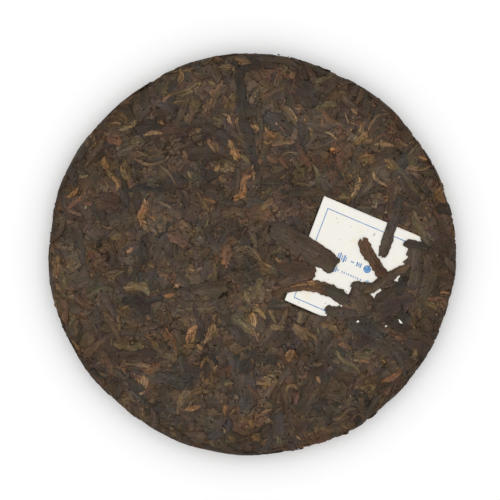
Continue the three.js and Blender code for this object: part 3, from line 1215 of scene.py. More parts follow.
@dataclass(frozen=True)
class PressedLeaves:
    """Scatters one kind of leaf over the disc."""

    spec: LeafSpec
    skin: Object
    # What the tree keeps on the points for itself.
    helpers: tuple[str, ...] = ("east", "north", "size", "lie")
    tries: float = 1.5  # seats tried for each leaf, because those too near another are dropped
    room: float = 0.55  # the least space between seats, over their mean space
    waviness: float = 1.3 * MM
    bundle_waves: float = 26.0
    end_dip: float = 0.15 * MM
    sunk: float = 0.6 * MM
    flush: float = 0.3 * MM

    def blank(self) -> Object:
        """The flat leaf that the tree copies, with each point's place on it kept."""
        grid = LeafGrid(self.spec.stations, self.spec.columns)
        mesh = smooth_mesh("blank_leaf", grid.places * MM, grid.faces, grid.smooth())
        store(mesh, "leaf_at", grid.places)
        return linked_object("blank_leaf", mesh)

    def numbers(self) -> dict[str, float]:
        """The tree's named sizes, in metres and radians."""
        spec = self.spec
        return {
            "Density": spec.per_square_metre * self.tries,
            "Spacing": self.room / math.sqrt(spec.per_square_metre),
            "Shortest": spec.length[0] * MM,
            "Longest": spec.length[1] * MM,
            "Narrowest": spec.width[0] * MM,
            "Widest": spec.width[1] * MM,
            "Bend": spec.bend,
            "Sway": spec.sway,
            "Lowest": spec.lift[0] * MM,
            "Highest": spec.lift[1] * MM,
            "Bluntness": spec.bluntness,
            "Ragged": spec.ragged,
            "Thickness": spec.thickness * MM,
            "Crown": spec.crown * MM,
            "Waviness": self.waviness,
            "Bundling": self.bundle_waves,
            "End dip": self.end_dip,
            "Sunk": self.sunk,
            "Press": self.flush,
        }

    def build(self, material: Material) -> Object:
        """Runs the tree on the skin and turns what it makes into a plain mesh.

        Args:
            material: The leaves' finish.

        Returns:
            The leaves as one object.
        """
        name = self.spec.kind.value
        blank = self.blank()
        tree = LeafTree(name, self.numbers()).build()
        modifier = self.skin.modifiers.new(name, "NODES")
        modifier.node_group = tree
        values = {"Leaf": blank, "Seed": self.spec.seed, "Material": material, **self.numbers()}
        for item in tree.interface.items_tree:
            if item.in_out == "INPUT" and item.name in values:
                modifier[item.identifier] = values[item.name]
        evaluated = self.skin.evaluated_get(bpy.context.evaluated_depsgraph_get())
        mesh = bpy.data.meshes.new_from_object(evaluated)
        self.skin.modifiers.remove(modifier)
        bpy.data.objects.remove(blank)
        bpy.data.node_groups.remove(tree)
        for helper in self.helpers:
            mesh.attributes.remove(mesh.attributes[helper])
        mesh.name = name
        return linked_object(name, mesh)


# ---------------------------------------------------------------------------------------------------------
# The ticket


@dataclass(frozen=True)
class PrintRow:
    """A row of plain upright bars that stand in for printed signs, in mm on the ticket."""

    middle: float
    bars: tuple[Triple, ...]  # left, width and height of each

    def patches(self) -> list[tuple[float, ...]]:
        """The bars as (left, top, right, bottom)."""
        middle = self.middle
        return [(left, middle - high / 2, left + wide, middle + high / 2) for left, wide, high in self.bars]


@dataclass(frozen=True)
class PaperOpening:
    """A gap between the leaves where the paper shows."""

    corners: tuple[tuple[float, float], ...]  # as seen from above, in mm

    def depth(self, x: Array, y: Array) -> Array:
        """How far inside the gap points lie.

        Args:
            x: To the right, as seen from above, in metres.
            y: Away, as seen from above.

        Returns:
            The distance to its edge, below 0 outside it.
        """
        outline = np.array(self.corners) * MM
        point = np.stack([x, y], 1)
        distance = np.full(len(x), np.inf)
        is_in = np.zeros(len(x), bool)
        for start, end in zip(outline, np.roll(outline, -1, axis=0)):
            edge = end - start
            share = np.clip(((point - start) @ edge) / (edge @ edge), 0, 1)
            distance = np.minimum(distance, np.linalg.norm(point - start - share[:, None] * edge, axis=1))
            if edge[1]:
                spans = (start[1] > y) != (end[1] > y)
                is_in ^= spans & (x < start[0] + (y - start[1]) / edge[1] * edge[0])
        return np.where(is_in, distance, -distance)


def eased(share: Array) -> Array:
    """A smooth rise from 0 to 1 in place of a straight one."""
    share = np.clip(share, 0, 1)
    return share * share * (3 - 2 * share)


@dataclass(frozen=True)
class Ticket:
    """The paper ticket, which lies in the face under the leaves that cross it, as seen from above."""

    shape: CakeShape
    width: float = 53 * MM
    height: float = 55 * MM
    corner: tuple[float, float] = (35.9 * MM, 28.6 * MM)
    heading: float = math.radians(-23.3)
    lean: float = math.radians(-20.8)
    top_lift: float = -0.15 * MM
    thickness: float = 0.12 * MM
    wave_height: float = 0.035 * MM
    wave_spans: Triple = (3.1 * MM, 3.7 * MM, 5.3 * MM)
    # Distances from an opening's edge where a change starts, each with the span that it takes.
    cover_edge: tuple[float, float] = (0.2 * MM, 1.6 * MM)
    hidden_depth: float = 1.1 * MM
    clear_edge: tuple[float, float] = (0.5 * MM, 0.7 * MM)
    clear_centre: float = 50 * MM
    clear_reach: tuple[float, float] = (45 * MM, 50 * MM)
    pressed_depth: float = 1.9 * MM
    columns: int = 66
    rows: int = 68
    ink_lift: float = 0.02 * MM
    # The print, in mm on the ticket.
    line_width: float = 0.42
    frame_line: tuple[float, float, float, float] = (3.7, 4.8, 51.6, 52.1)  # left, top, right, bottom
    ink_step: float = 0.8
    dot_at: tuple[float, float] = (32.4, 25.0)
    dot_radius: float = 1.9
    rows_of_print: tuple[PrintRow, ...] = (
        PrintRow(24.6, (
            (16.6, 0.5, 3.2), (17.5, 0.7, 4.4), (18.7, 0.5, 2.6), (19.7, 0.8, 3.6), (20.9, 0.4, 2.2),
            (23.6, 1.7, 0.6), (26.6, 0.6, 2.2), (27.6, 0.5, 1.6), (28.5, 0.6, 2.4),
        )),
        PrintRow(31.0, (
            (17.1, 0.6, 3.4), (18.0, 0.6, 2.6), (19.0, 0.5, 1.2), (21.2, 0.5, 1.0), (22.4, 0.4, 1.2),
            (23.6, 0.5, 0.9), (24.8, 0.4, 1.1), (26.0, 0.5, 0.9), (27.2, 0.4, 1.2), (28.4, 0.5, 0.9),
            (29.6, 0.4, 1.1), (31.0, 0.5, 0.9), (33.9, 0.5, 1.8), (34.7, 0.5, 2.4), (35.6, 0.5, 1.7),
            (36.5, 0.4, 2.2),
        )),
    )
    openings: tuple[PaperOpening, ...] = (
        PaperOpening((
            (35.6, 28.8), (84.2, 8.0), (83.4, 5.4), (78.4, 1.2), (77.4, -5.2), (67.8, -9.4), (62.4, -12.6),
            (58.0, -15.2), (50.0, -14.8), (47.8, -20.0), (43.0, -18.4), (36.4, -15.8), (28.6, -13.4),
            (30.8, -11.2), (31.0, -5.4), (28.4, -1.0), (26.6, 5.6),
        )),
        PaperOpening((
            (15.2, -22.4), (19.2, -17.8), (29.3, -17.0), (37.9, -19.6), (46.0, -25.6), (37.6, -26.0),
            (37.0, -30.4), (28.3, -29.4), (19.0, -25.0),
        )),
        PaperOpening(((70.0, -12.2), (73.6, -9.8), (71.6, -13.8))),
        PaperOpening(((58.3, -20.8), (59.5, -18.9), (63.9, -17.2), (64.4, -18.4), (60.2, -22.8))),
    )
    # Loose bits of the paper: place, length and width in mm, and turn in degrees.
    torn_bits: tuple[tuple[float, ...], ...] = (
        (52.4, -33.3, 1.4, 1.1, 20),
        (66.1, -35.5, 1.1, 0.7, 70),
        (73.1, -33.3, 2.6, 1.0, -50),
    )
    bit_corners: int = 8
    bit_faces: tuple[float, float] = (0.62 * MM, 0.4 * MM)

    def plan(self, right: Array, down: Array) -> tuple[Array, Array]:
        """Points of the ticket as seen from above, in the model's frame."""
        x = self.corner[0] + right * math.cos(self.heading) + down * math.sin(self.lean)
        return x, self.corner[1] + right * math.sin(self.heading) - down * math.cos(self.lean)

    def lift(self, right: Array, down: Array) -> Array:
        """Height of the paper's top over the face: it waves a little, and dips where leaves press on it.

        Args:
            right: Distances along the ticket's upper edge from its upper left corner.
            down: Distances along its left edge.

        Returns:
            The height at each point.
        """
        first, second, slant = self.wave_spans
        waves = np.sin(right / first + 0.7) * np.cos(down / second) + np.sin((right + down) / slant)
        start, span = self.cover_edge
        covered = eased((start - self.inside(*self.plan(right, down))) / span)
        return self.top_lift + self.wave_height * waves - self.hidden_depth * covered

    def inside(self, x: Array, y: Array) -> Array:
        """How far inside the nearest opening points lie, below 0 outside it."""
        return np.max([opening.depth(x, y) for opening in self.openings], axis=0)

    def press_under(self, mesh: Mesh) -> None:
        """Presses the leaves that lie where the paper shows down under it.

        Args:
            mesh: The leaves.
        """
        points = points_of(mesh)
        x, y, z = points.T
        wide, deep = self.clear_reach
        near = (z > self.shape.widest_height) & (np.abs(x - self.clear_centre) < wide) & (np.abs(y) < deep)
        start, span = self.clear_edge
        shown = eased((self.inside(x[near], y[near]) + start) / span)
        points[near, 2] -= self.pressed_depth * shown
        set_points(mesh, points)

    def sheet(self, material: Material) -> Object:
        """The paper as a thin closed sheet.

        Args:
            material: Its finish.

        Returns:
            The piece.
        """
        grid = LeafGrid(self.rows, self.columns, True)
        down, across, is_top = grid.places.T
        right = (across * 0.5 + 0.5) * self.width
        down = (down + 0.5) * self.height
        lift = self.lift(right, down) - (1 - is_top) * self.thickness
        mesh = smooth_mesh("ticket_sheet", self.shape.on_face(*self.plan(right, down), lift), grid.faces)
        return linked_object("ticket_sheet", mesh, material)

    def print_marks(self) -> list[tuple[float, ...]]:
        """The printed bars as (left, top, right, bottom) in mm: a frame line and two rows of dashes."""
        left, top, right, bottom = self.frame_line
        line = self.line_width
        bars = [
            (left, top, right, top + line),
            (left, bottom - line, right, bottom),
            (left, top, left + line, bottom),
            (right - line, top, right, bottom),
        ]
        return bars + [patch for row in self.rows_of_print for patch in row.patches()]

    def ink(self, material: Material) -> Object:
        """The print as thin closed films that follow the paper.

        Args:
            material: The ink's finish.

        Returns:
            The piece.
        """
        radius = self.dot_radius
        x, y = self.dot_at
        films = Gathering()
        marks = [(x - radius, y - radius, x + radius, y + radius), *self.print_marks()]
        for number, (left, top, right, bottom) in enumerate(marks):
            steps = (math.ceil(span / self.ink_step) for span in (bottom - top, right - left))
            grid = LeafGrid(*steps, True)
            down, across, is_top = grid.places.T
            down = down * 2
            if number == 0:  # the dot, whose square grid is rounded
                down, across = down * np.sqrt(1 - across**2 / 2), across * np.sqrt(1 - down**2 / 2)
            to_right = (left + (across + 1) / 2 * (right - left)) * MM
            to_bottom = (top + (down + 1) / 2 * (bottom - top)) * MM
            rise = np.where(is_top > 0.5, self.ink_lift, -self.thickness / 2)
            lift = self.lift(to_right, to_bottom) + rise
            films.add(self.shape.on_face(*self.plan(to_right, to_bottom), lift), grid.faces)
        return linked_object("ticket_print", films.mesh("ticket_print"), material)

    def scraps(self, material: Material) -> Object:
        """Tiny torn bits of the paper that lie on the leaves beside the ticket.

        Args:
            material: Their finish.

        Returns:
            The piece.
        """
        corners = self.bit_corners
        turns = np.linspace(0, 2 * math.pi, corners, endpoint=False)
        top = tuple(range(corners))
        under = tuple(range(2 * corners - 1, corners - 1, -1))
        walls = [(n, corners + n, corners + (n + 1) % corners, (n + 1) % corners) for n in range(corners)]
        bits = Gathering()
        for x, y, length, width, turn in self.torn_bits:
            reach = 1 + 0.25 * np.cos(3 * turns + x)
            along, across = length / 2 * reach * np.cos(turns), width / 2 * reach * np.sin(turns)
            spin = math.radians(turn)
            east = (x + along * math.cos(spin) - across * math.sin(spin)) * MM
            north = (y + along * math.sin(spin) + across * math.cos(spin)) * MM
            rings = [self.shape.on_face(east, north, np.full(corners, lift)) for lift in self.bit_faces]
            bits.add(np.concatenate(rings), [top, under, *walls])
        return linked_object("paper_scraps", bits.mesh("paper_scraps"), material)


# ---------------------------------------------------------------------------------------------------------
# Leaves placed one by one


@dataclass(frozen=True)
class LaidLeaf:
    """A listed leaf: its middle line as seen from above with its width at each point, in mm.

    Its dust is how far away, in mm, the cake has the leaf's shade of dust.
    """

    kind: LeafKind
    tint: float
    line: tuple[Triple, ...]
    lift: float = 0.38
    crown: float = 0.12
    ragged: float = 0.3
    blunt: tuple[float, float] = (0.5, 0.5)
    dust: float = 0.0


def laid(*rows: tuple) -> tuple[LaidLeaf, ...]:
    """Leaves from rows of their values, in the order of LaidLeaf."""
    return tuple(LaidLeaf(*row) for row in rows)


CROSSING_LEAVES = laid(
    # The broad leaf over the left edge, and what lies below it as far as the stalk
    (BROAD, 0.6,
     ((9, 12.4, 8), (16.7, 9.3, 10), (22.5, 5.2, 12),
      (29.5, 0.9, 11.8), (35.3, -2, 10.4), (40.9, -6.4, 9.2)), 0.3, 0.45, 0.06, (0.5, 1.0)),
    (BROAD, 0.35,
     ((12, -6.4, 7), (20, -6.6, 10.4), (26, -7.8, 11), (31.6, -8.6, 9)), 0.15, 0.3, 0.15, (0.5, 1)),
    (STRIP, 0.6, ((13, -14.6, 5), (20, -12.4, 6.6), (27.2, -12.2, 4.4)), 0.2, 0.3),
    # The stalk, with a golden patch on it
    (STRIP, 0.35,
     ((10, -20, 2), (15, -18.2, 3), (20.8, -16.8, 3.8), (26, -15.8, 5),
      (31, -16, 5.8), (36, -17, 6.2), (41, -19.6, 6)), 0.3, 0.5, 0.12),
    (TAN, 0.2, ((19, -16.4, 1), (23.4, -15.2, 2.2), (28, -14.6, 2.4), (31.6, -14.8, 1.2)), 0.75, 0.2),
    (BUD, 0.3, ((27.6, -13.9, 0.9), (29.6, -13.8, 1.7), (31.8, -14.3, 1)), 0.85, 0.2),
    (DARK, 0.6,
     ((34, -16.4, 3), (37, -17.2, 5.2), (41, -19.2, 6.4), (45, -21.8, 6.4), (49, -25, 5)), 0.4, 0.4, 0.15),
    # The upright strip and the reddish one
    (DARK, 0.95,
     ((73, 28, 3), (72, 22.6, 4.6), (70.6, 17.6, 4.6), (67.9, 11, 5),
      (66.6, 6.8, 5.2), (65.2, 2.6, 5.2), (63.9, -1.2, 4.4)), 0.35, 0.4, 0.14, (0.5, 1.0), 40),
    (RUSSET, 0.0,
     ((54.2, 7, 5.2), (55.6, 3.6, 6), (57.6, 0, 5.8), (60, -3.6, 5.4),
      (62.3, -7.2, 5.6), (64.6, -10.6, 5.8), (66.4, -13, 4.8)), 0.4, 0.4, 0.16, (0.9, 0.5)),
    # The twisted leaf at the upper right end
    (OLIVE, 0.4, ((78.2, 18.4, 2.6), (82, 12.6, 3.8), (85, 7.8, 3.8), (87.6, 3.6, 3)), 0.5, 0.4, 0.2),
    # The bar along the lower right and what hangs below it
    (STRIP, 0.65,
     ((55, -18.4, 3.2), (59, -16.8, 4.4), (63.4, -14.2, 4.6),
      (68, -11, 4.4), (72.6, -8.2, 4.2), (77.6, -6.2, 3.8)), 0.5, 0.4, 0.2),
    (DARK, 0.5, ((74, 4.9, 2.4), (77, 4.7, 4.2), (81, 4, 4), (86, 3, 3)), 0.4, 0.4, 0.35, (0.9, 0.5)),
    (BROAD, 0.95, ((79.8, 3.8, 5), (80, -2, 8.8), (79.8, -10, 9), (78.2, -17, 6)), 0.3, 0.3, 0.25),
    (DARK, 0.3, ((77.4, -6, 3.4), (76, -10, 4.2), (74, -14.4, 4.6), (71, -20, 4)), 0.4, 0.4, 0.2),
    (DARK, 0.6,
     ((49.2, -15.2, 2.6), (52, -15.4, 3.6),
      (55.6, -15.6, 3.8), (59.4, -17, 3)), 0.45, 0.3, 0.3, (0.8, 0.5)),
    (DARK, 0.9, ((50.4, -17, 5), (52.4, -20.6, 8.6), (54, -25, 8.6), (54, -31, 6)), 0.3, 0.3, 0.4),
    (DARK, 0.1, ((59.6, -25, 3), (63.4, -22.6, 6.4), (68, -20, 6.6), (73, -16.6, 5)), 0.4, 0.4, 0.2),
    (DARK, 0.6,
     ((36.2, -27.6, 4.4), (40, -28.2, 5), (46, -28.7, 5.6), (52, -29, 5)), 0.3, 0.35, 0.28, (1, 0.5)),
    (BROAD, 0.8, ((45.2, -24.2, 4.6), (50, -24.8, 6.8), (55, -27, 6)), 0.35, 0.3, 0.2),
    (STRIP, 0.4, ((63.4, -15.6, 3), (66.2, -14.8, 4.2), (69.6, -13.8, 3.4)), 0.35, 0.3),
    # The dark mass right of the ticket and below it
    (STRIP, 0.6, ((86, 0, 5), (87.4, -7, 8), (86.6, -15, 8), (84, -23, 6)), 0.2, 0.3),
    (BROAD, 0.2, ((60, -30, 6), (66, -27, 9), (73, -23.6, 9), (80, -21, 6)), 0.2, 0.3, 0.25),
    (DARK, 0.5, ((47, -33.6, 5), (53, -35, 8.4), (60, -37.4, 8), (66, -41, 5)), 0.2, 0.3, 0.25),
    (DARK, 0.2, ((66, -32.6, 4), (71, -34.4, 7.6), (77, -38, 7.4), (81, -42, 4)), 0.15, 0.3, 0.25),
    (BROAD, 0.5, ((54, -42, 5), (60, -44.6, 7), (68, -47.4, 6.6), (74, -49, 4)), 0.15, 0.3, 0.25),
    (DARK, 0.5, ((39.4, -38, 3), (37, -42.6, 4.8), (34, -47.4, 4.8), (31.6, -52, 3)), 0.3, 0.3, 0.2),
)

FACE_LEAVES = laid(
    # Upper left
    (DARK, 0.3, ((-60, 59.6, 4), (-52.5, 63.2, 7.4), (-45, 63.4, 6)), 0.3, 0.1),
    (BUD, 0.9, ((-53.6, 58.8, 1.2), (-50, 60.2, 2.8), (-47, 60.2, 2.8), (-44.2, 59.8, 1.4))),
    (BUD, 0.1, ((-72.8, 48, 1.8), (-72.4, 44.6, 3.4), (-71.4, 41.4, 2.6))),
    (OLIVE, 0.9, ((-71.8, 42, 2), (-69.8, 39.6, 2.4), (-68, 37.8, 2))),
    (BUD, 0.4, ((-68.4, 38.4, 2), (-66.2, 35.6, 3), (-64.4, 32.2, 1.2))),
    (BUD, 0.3, ((-52.8, 27, 2), (-52.2, 23, 3.6), (-54.2, 19, 4.6), (-54.4, 16.4, 2))),
    (BUD, 0.1, ((-54.2, 16.6, 2.4), (-54, 13.2, 1.4))),
    (BUD, 0.35, ((0, 38.4, 1.8), (-3.2, 37.6, 2.6), (-4, 33, 3.4), (-5, 29, 3.6), (-8.8, 26.4, 2))),
    (RUSSET, 1.0, ((-30.4, 74, 1.8), (-29.8, 69.6, 2.8), (-30.2, 65, 2))),
    (BUD, 0.2, ((-33.8, 51.2, 1.6), (-33, 48.8, 3.2), (-33, 47, 2.4))),
    (TAN, 0.9, ((-13.6, 69.2, 1.2), (-11.4, 68.2, 1.8), (-10.6, 65.8, 1.8), (-8.6, 63.2, 1))),
    (TAN, 0.7, ((-46.9, 66.2, 1), (-45.2, 65.4, 2.4), (-43.8, 64.6, 1.2))),
    (OLIVE, 1.0, ((-66.2, 61.6, 2.2), (-61.6, 63.4, 3.4), (-57, 66, 2.4))),
    (RUSSET, 0.7, ((-72, 57.6, 3), (-68, 56.4, 4.6), (-64.4, 54.8, 3)), 0.3, 0.1, 0.4),
    (OLIVE, 0.5, ((-60, 56, 3), (-56, 56, 5), (-52.6, 55, 3)), 0.35, 0.1),
    (OLIVE, 0.2, ((-41.4, 87.3, 2.4), (-43, 83, 3.4), (-44.4, 78.3, 2.6))),
    (BROAD, 1.0, ((-46.6, 74.6, 4), (-42.4, 74, 5.6), (-38.6, 71.6, 4)), 0.3, 0.1),
    (OLIVE, 0.4, ((-52, 35.4, 3.4), (-49, 35, 5.4), (-46, 34.4, 3)), 0.35, 0.1),
    (TAN, 0.6, ((-11.2, 56.4, 2.4), (-9, 51.6, 3.8), (-7, 46, 2.6)), 0.38, 0.12, 0.5),
    (TAN, 0.3, ((-19.6, 55, 2), (-17.4, 53.2, 3.2), (-16.2, 50, 2))),
    (RUSSET, 1.0, ((-83.8, 27.8, 2.2), (-86.4, 25.2, 2.8), (-90.4, 22.2, 2))),
    (RUSSET, 0.8, ((-90, 21.6, 1.8), (-86, 20, 2.2), (-83, 18.6, 1.6))),
    (TAN, 0.6, ((-18.4, 41.2, 3), (-13, 43, 4.8), (-8.2, 42, 3.4)), 0.4, 0.1, 0.4),
    (TAN, 1.0, ((-31, 41, 2.6), (-29.6, 36.8, 0.8))),
    (TAN, 0.4, ((-40.2, 79.6, 2.2), (-33, 80.4, 4.6), (-28.6, 83, 3.8), (-24.8, 85, 2))),
    (TAN, 0.3, ((-14.4, 86.4, 3), (-17.6, 79.6, 4), (-20.6, 74, 4.4), (-22.8, 69.4, 2.6)), 0.38, 0.12, 0.5),
    (BUD, 0.1, ((-8.6, 96.6, 2.6), (-4.4, 96, 4.4), (-0.4, 94.8, 3.2))),
    (TAN, 0.7, ((-15.6, 92.4, 2.6), (-12, 92.6, 3.8), (-7.6, 92, 2.6))),
    (DARK, 0.2,
     ((-6.4, 93, 3), (-5.2, 80, 5.4), (-3.2, 65, 5.2), (-0.4, 55, 5), (2.4, 41, 3.4)), 0.35, 0.1, 0.2),
    (BUD, 0.0, ((-35.6, 92.6, 2), (-34.6, 88.6, 3.4), (-36.2, 84.6, 2.4))),
    (STEM, 0.8, ((-59, 47.4, 1.2), (-50.6, 44.2, 1.8), (-43, 46.2, 1.6), (-39.2, 51.8, 1))),
    (STEM, 0.6, ((-57, 51.2, 1.2), (-49.4, 48, 1.6), (-43, 50.6, 1))),
    (STEM, 0.9, ((-46, 44, 1), (-41.2, 40.4, 1.6), (-37.6, 34.6, 0.9))),
    (BROAD, 0.7, ((-71, 14.4, 6), (-65, 17.4, 9), (-58.2, 17, 6)), 0.35, 0.1, 0.4),
    (BROAD, 0.4, ((-79.8, 27, 5), (-72, 26.2, 8.4), (-64.4, 25, 6)), 0.35, 0.1, 0.4),
    (TAN, 0.3, ((-26.6, 30.4, 0.9), (-23.4, 25.2, 1.5), (-20.2, 19.4, 0.9))),
    (BUD, 0.0, ((-23.8, 27, 1.6), (-20.6, 26.2, 2.2), (-17.6, 25.2, 1))),
    (BUD, 0.0, ((-49.4, 18.4, 1.6), (-47, 16.6, 2.2))),
    (STRIP, 0.6, ((-15, 20, 4), (-9, 20.4, 5.4), (-3, 18.6, 4)), 0.35, 0.15, 0.4),
    (STRIP, 0.8, ((-2.6, 19.6, 4), (3, 20.4, 7.6), (9, 18.2, 4.6)), 0.35, 0.15, 0.4),
    (RUSSET, 0.8, ((-41, 10.4, 4), (-36.4, 7, 5.4), (-31.6, 4.6, 4))),
    (DARK, 0.1, ((-53.2, 8.8, 3.4), (-53.4, 3, 4.6), (-53, -3, 3)), 0.4, 0.1, 0.2),
    # Upper right
    (BROAD, 0.5, ((7, 69.4, 5), (13.6, 65, 8.4), (19, 58.6, 6)), 0.3, 0.1, 0.4),
    (BUD, 0.2, ((-0.4, 63.4, 1.8), (2, 62.6, 3.2), (3.8, 61.6, 2))),
    (BUD, 0.3, ((6.6, 62.6, 1.6), (8.4, 59.4, 3), (12.2, 57.4, 1.4))),
    (BUD, 0.6, ((11.6, 64.8, 0.9), (13.8, 63.2, 2), (16, 61, 0.9))),
    (TAN, 0.6, ((9.6, 53.6, 2.2), (14.6, 55.6, 4.6), (21, 55.4, 1.8))),
    (STEM, 0.5, ((4.2, 75.4, 2), (8.8, 79.2, 2.2), (16.4, 82.8, 1.8))),
    (STEM, 0.3, ((4.4, 76, 2.2), (4, 69.6, 2.4), (4.6, 60.8, 2.4), (4.4, 50.6, 1.6)), 0.5, 0.2),
    (BUD, 0.0, ((20.2, 90.2, 2), (20.2, 86.6, 2.6))),
    (BUD, 0.0, ((49.6, 72.2, 2), (52.8, 70, 3))),
    (TAN, 0.8, ((46.4, 70, 1), (48.2, 64.6, 0.9))),
    (TAN, 0.3, ((35.2, 66.8, 1.2), (34.8, 63.2, 1.4))),
    (BUD, 0.1, ((28.6, 62.6, 1.6), (30.2, 60.4, 2))),
    (BUD, 0.1, ((26.2, 67.2, 1.4), (27.2, 65.6, 1.4))),
    (TAN, 0.6, ((36.8, 60.6, 1.2), (39.8, 59, 1.8), (42.4, 56.2, 1.2))),
    (BUD, 0.2, ((38.6, 51.4, 3), (40.4, 51.2, 3.6), (42, 51, 2.4))),
    (TAN, 0.1, ((68.4, 69.4, 0.8), (62.6, 68.2, 1.1), (59.4, 64.4, 1.1), (57.6, 60, 0.9))),
    (TAN, 0.1, ((57.6, 60.2, 2), (54.4, 57, 3.4), (51.2, 54.4, 1.8))),
    (OLIVE, 0.7, ((60.6, 54, 1.8), (65.4, 54.4, 3.2), (70.4, 53.4, 1.8))),
    (RUSSET, 1.0, ((52.6, 47.4, 1.2), (56, 49, 1.8), (59.6, 48.8, 1.2))),
    (TAN, 0.3, ((66, 46.6, 2.6), (69.4, 44, 4.2), (71.2, 40.8, 2.8))),
    (TAN, 0.8, ((60, 40.6, 1.2), (61.6, 36.8, 2), (66.8, 33, 0.9))),
    (BUD, 0.0, ((76.4, 42.4, 2.6), (79.4, 42, 3.4), (82, 41.4, 2))),
    (TAN, 0.5, ((81.8, 41.2, 1.6), (85, 42, 1.8), (88, 43.4, 1.4))),
    (OLIVE, 0.3, ((69.6, 46, 1.8), (74.6, 39.6, 2.6), (78.4, 34, 2.6), (81.8, 29.4, 1.8))),
    (TAN, 0.2, ((94, 33.4, 2.4), (92, 29, 3.6), (94.4, 25.2, 3.4), (95.6, 21, 2))),
    (OLIVE, 0.7, ((79, 21.4, 2.6), (82.2, 12.6, 3.6), (89.2, 6.2, 2.8))),
    (OLIVE, 0.3, ((22, 45.6, 4.6), (24, 40.6, 6), (24.2, 35.6, 4)), 0.4, 0.1, 0.5),
    (RUSSET, 0.4, ((37.8, 41, 4), (40, 37, 5.4), (41.4, 33.4, 4)), 0.4, 0.1, 0.4),
    (BROAD, 0.2, ((23.6, 86, 6), (27.4, 80, 9.4), (30.4, 73, 6)), 0.35, 0.1, 0.4),
    (RUSSET, 0.6, ((13.8, 48.8, 2), (16, 45, 2.6), (18, 42, 1.6))),
    # Lower left
    (DARK, 0.5, ((-38, -33, 5), (-35.4, -38, 7.4), (-33.4, -45, 5)), 0.42, 0.1, 0.25),
    (DARK, 0.5, ((-34.4, -49.7, 4.6), (-33, -57.6, 7), (-30.5, -65.6, 4.6)), 0.3, 0.1, 0.2),
    (DARK, 0.3, ((-70.2, -63.2, 3.6), (-61.8, -65, 6.4), (-53.3, -67.6, 4.4)), 0.3, 0.1, 0.25),
    (DARK, 0.3, ((-36.6, -80, 4), (-35, -85, 6.4), (-34, -90, 4)), 0.3, 0.1, 0.2),
    (TAN, 0.3, ((-95.6, -1, 2.6), (-95.8, -6.4, 3.6), (-95.4, -12, 2.8)), 0.38, 0.12, 0.5),
    (TAN, 0.2, ((-86.2, 3, 4.6), (-87, -2.4, 6.6), (-87.8, -8.4, 4.4)), 0.38, 0.1, 0.5),
    (TAN, 0.1, ((-95.8, -19.8, 2.6), (-94.5, -24.2, 3.6), (-92.8, -28.6, 2.6)), 0.38, 0.12, 0.5),
    (OLIVE, 0.4, ((-93.4, -8, 2.4), (-92.6, -13.6, 3.6), (-91, -19.4, 2.4)), 0.38, 0.12, 0.5),
    (OLIVE, 0.8, ((-72.8, -10.2, 1.4), (-69, -9.8, 3.4), (-62, -8.6, 1.4))),
    (DARK, 0.2, ((-64, -23, 5), (-56.4, -24.4, 8), (-51.6, -29.4, 5)), 0.35, 0.1),
    (TAN, 0.8,
     ((-63, -16.4, 4.2), (-56.4, -16, 5), (-52.4, -17.2, 3.8), (-50.4, -20.8, 1.2)), 0.5, 0.2, 0.25),
    (BUD, 0.4, ((-64, -27.4, 0.8), (-60.2, -25.6, 2))),
    (BUD, 0.0, ((-43, -20.8, 2.4), (-39.6, -20.2, 2), (-36.8, -18.6, 1))),
    (OLIVE, 0.8, ((-44.6, -23.4, 1.4), (-46.2, -26.2, 2.8), (-48.2, -29.2, 1.4))),
    (TAN, 0.1, ((-65.6, -30, 1.6), (-65.4, -34.4, 2.4), (-65.2, -38.6, 1.6))),
    (TAN, 0.0, ((-86.4, -31, 2.6), (-89.2, -36, 4.4), (-88.2, -40.4, 2.8)), 0.45, 0.15, 0.5),
    (DARK, 0.1, ((-85, -34, 2.4), (-84.8, -39, 3.2), (-86, -44, 2.4))),
    (TAN, 0.4, ((-89, -42.4, 1.2), (-84.8, -47.2, 1.4))),
    (OLIVE, 0.5, ((-68.4, -43.8, 3.4), (-60, -45.6, 5.6), (-53, -45, 4)), 0.4, 0.15),
    (DARK, 0.3, ((-70.4, -50.2, 4), (-58, -49.8, 5.4), (-47.2, -49, 4)), 0.4, 0.1, 0.2),
    (OLIVE, 1.0, ((-62, -54.2, 1.2), (-55, -55.2, 2.4), (-49.2, -56, 1.6))),
    (DARK, 0.0, ((-25.2, -32, 3), (-25, -37, 4.4), (-25.4, -42.6, 3)), 0.4, 0.1, 0.1),
    (BUD, 0.5, ((-26.6, -35.4, 1.6), (-30.4, -38.6, 3.2), (-31.6, -41.6, 2.8), (-31.6, -44.8, 1.4))),
    (BUD, 0.2, ((-27.4, -37.4, 1.2), (-28.6, -41, 2), (-29.4, -44.4, 1.2))),
    (TAN, 0.6, ((-18.8, -34.2, 2), (-20, -38.6, 3.6), (-23.4, -44.4, 1.8))),
    (RUSSET, 0.7, ((-44.4, -33.4, 1), (-39.4, -41.2, 1.8), (-36.8, -50.8, 2))),
    (TAN, 0.2,
     ((-21.4, -51, 4.2), (-21.9, -54.4, 6.6), (-21.8, -58.6, 7.4),
      (-21.2, -62.4, 5.6), (-19.4, -66.6, 2)), 0.38, 0.1),
    (DARK, 0.2, ((-22.2, -53.6, 2.6), (-22, -57.4, 3.8), (-22.2, -61.4, 2.4)), 0.65, 0.1),
    (TAN, 0.1,
     ((-29.6, -68.2, 3.4), (-32.6, -70.4, 5.4), (-35, -72.8, 3.6), (-36.2, -76.4, 1.6), (-36.6, -80, 1.2))),
    (BUD, 0.0, ((-33, -77, 1.4), (-28.6, -76.2, 2.4), (-25.2, -75.2, 1.6))),
    (BUD, 0.4, ((-13.4, -74.8, 3), (-12.8, -80.2, 0.8))),
    (TAN, 0.9, ((-8, -76.6, 1.2), (-11, -79.6, 1.2))),
    (TAN, 0.9, ((-13.8, -86, 0.9), (-12.8, -88.4, 1.1))),
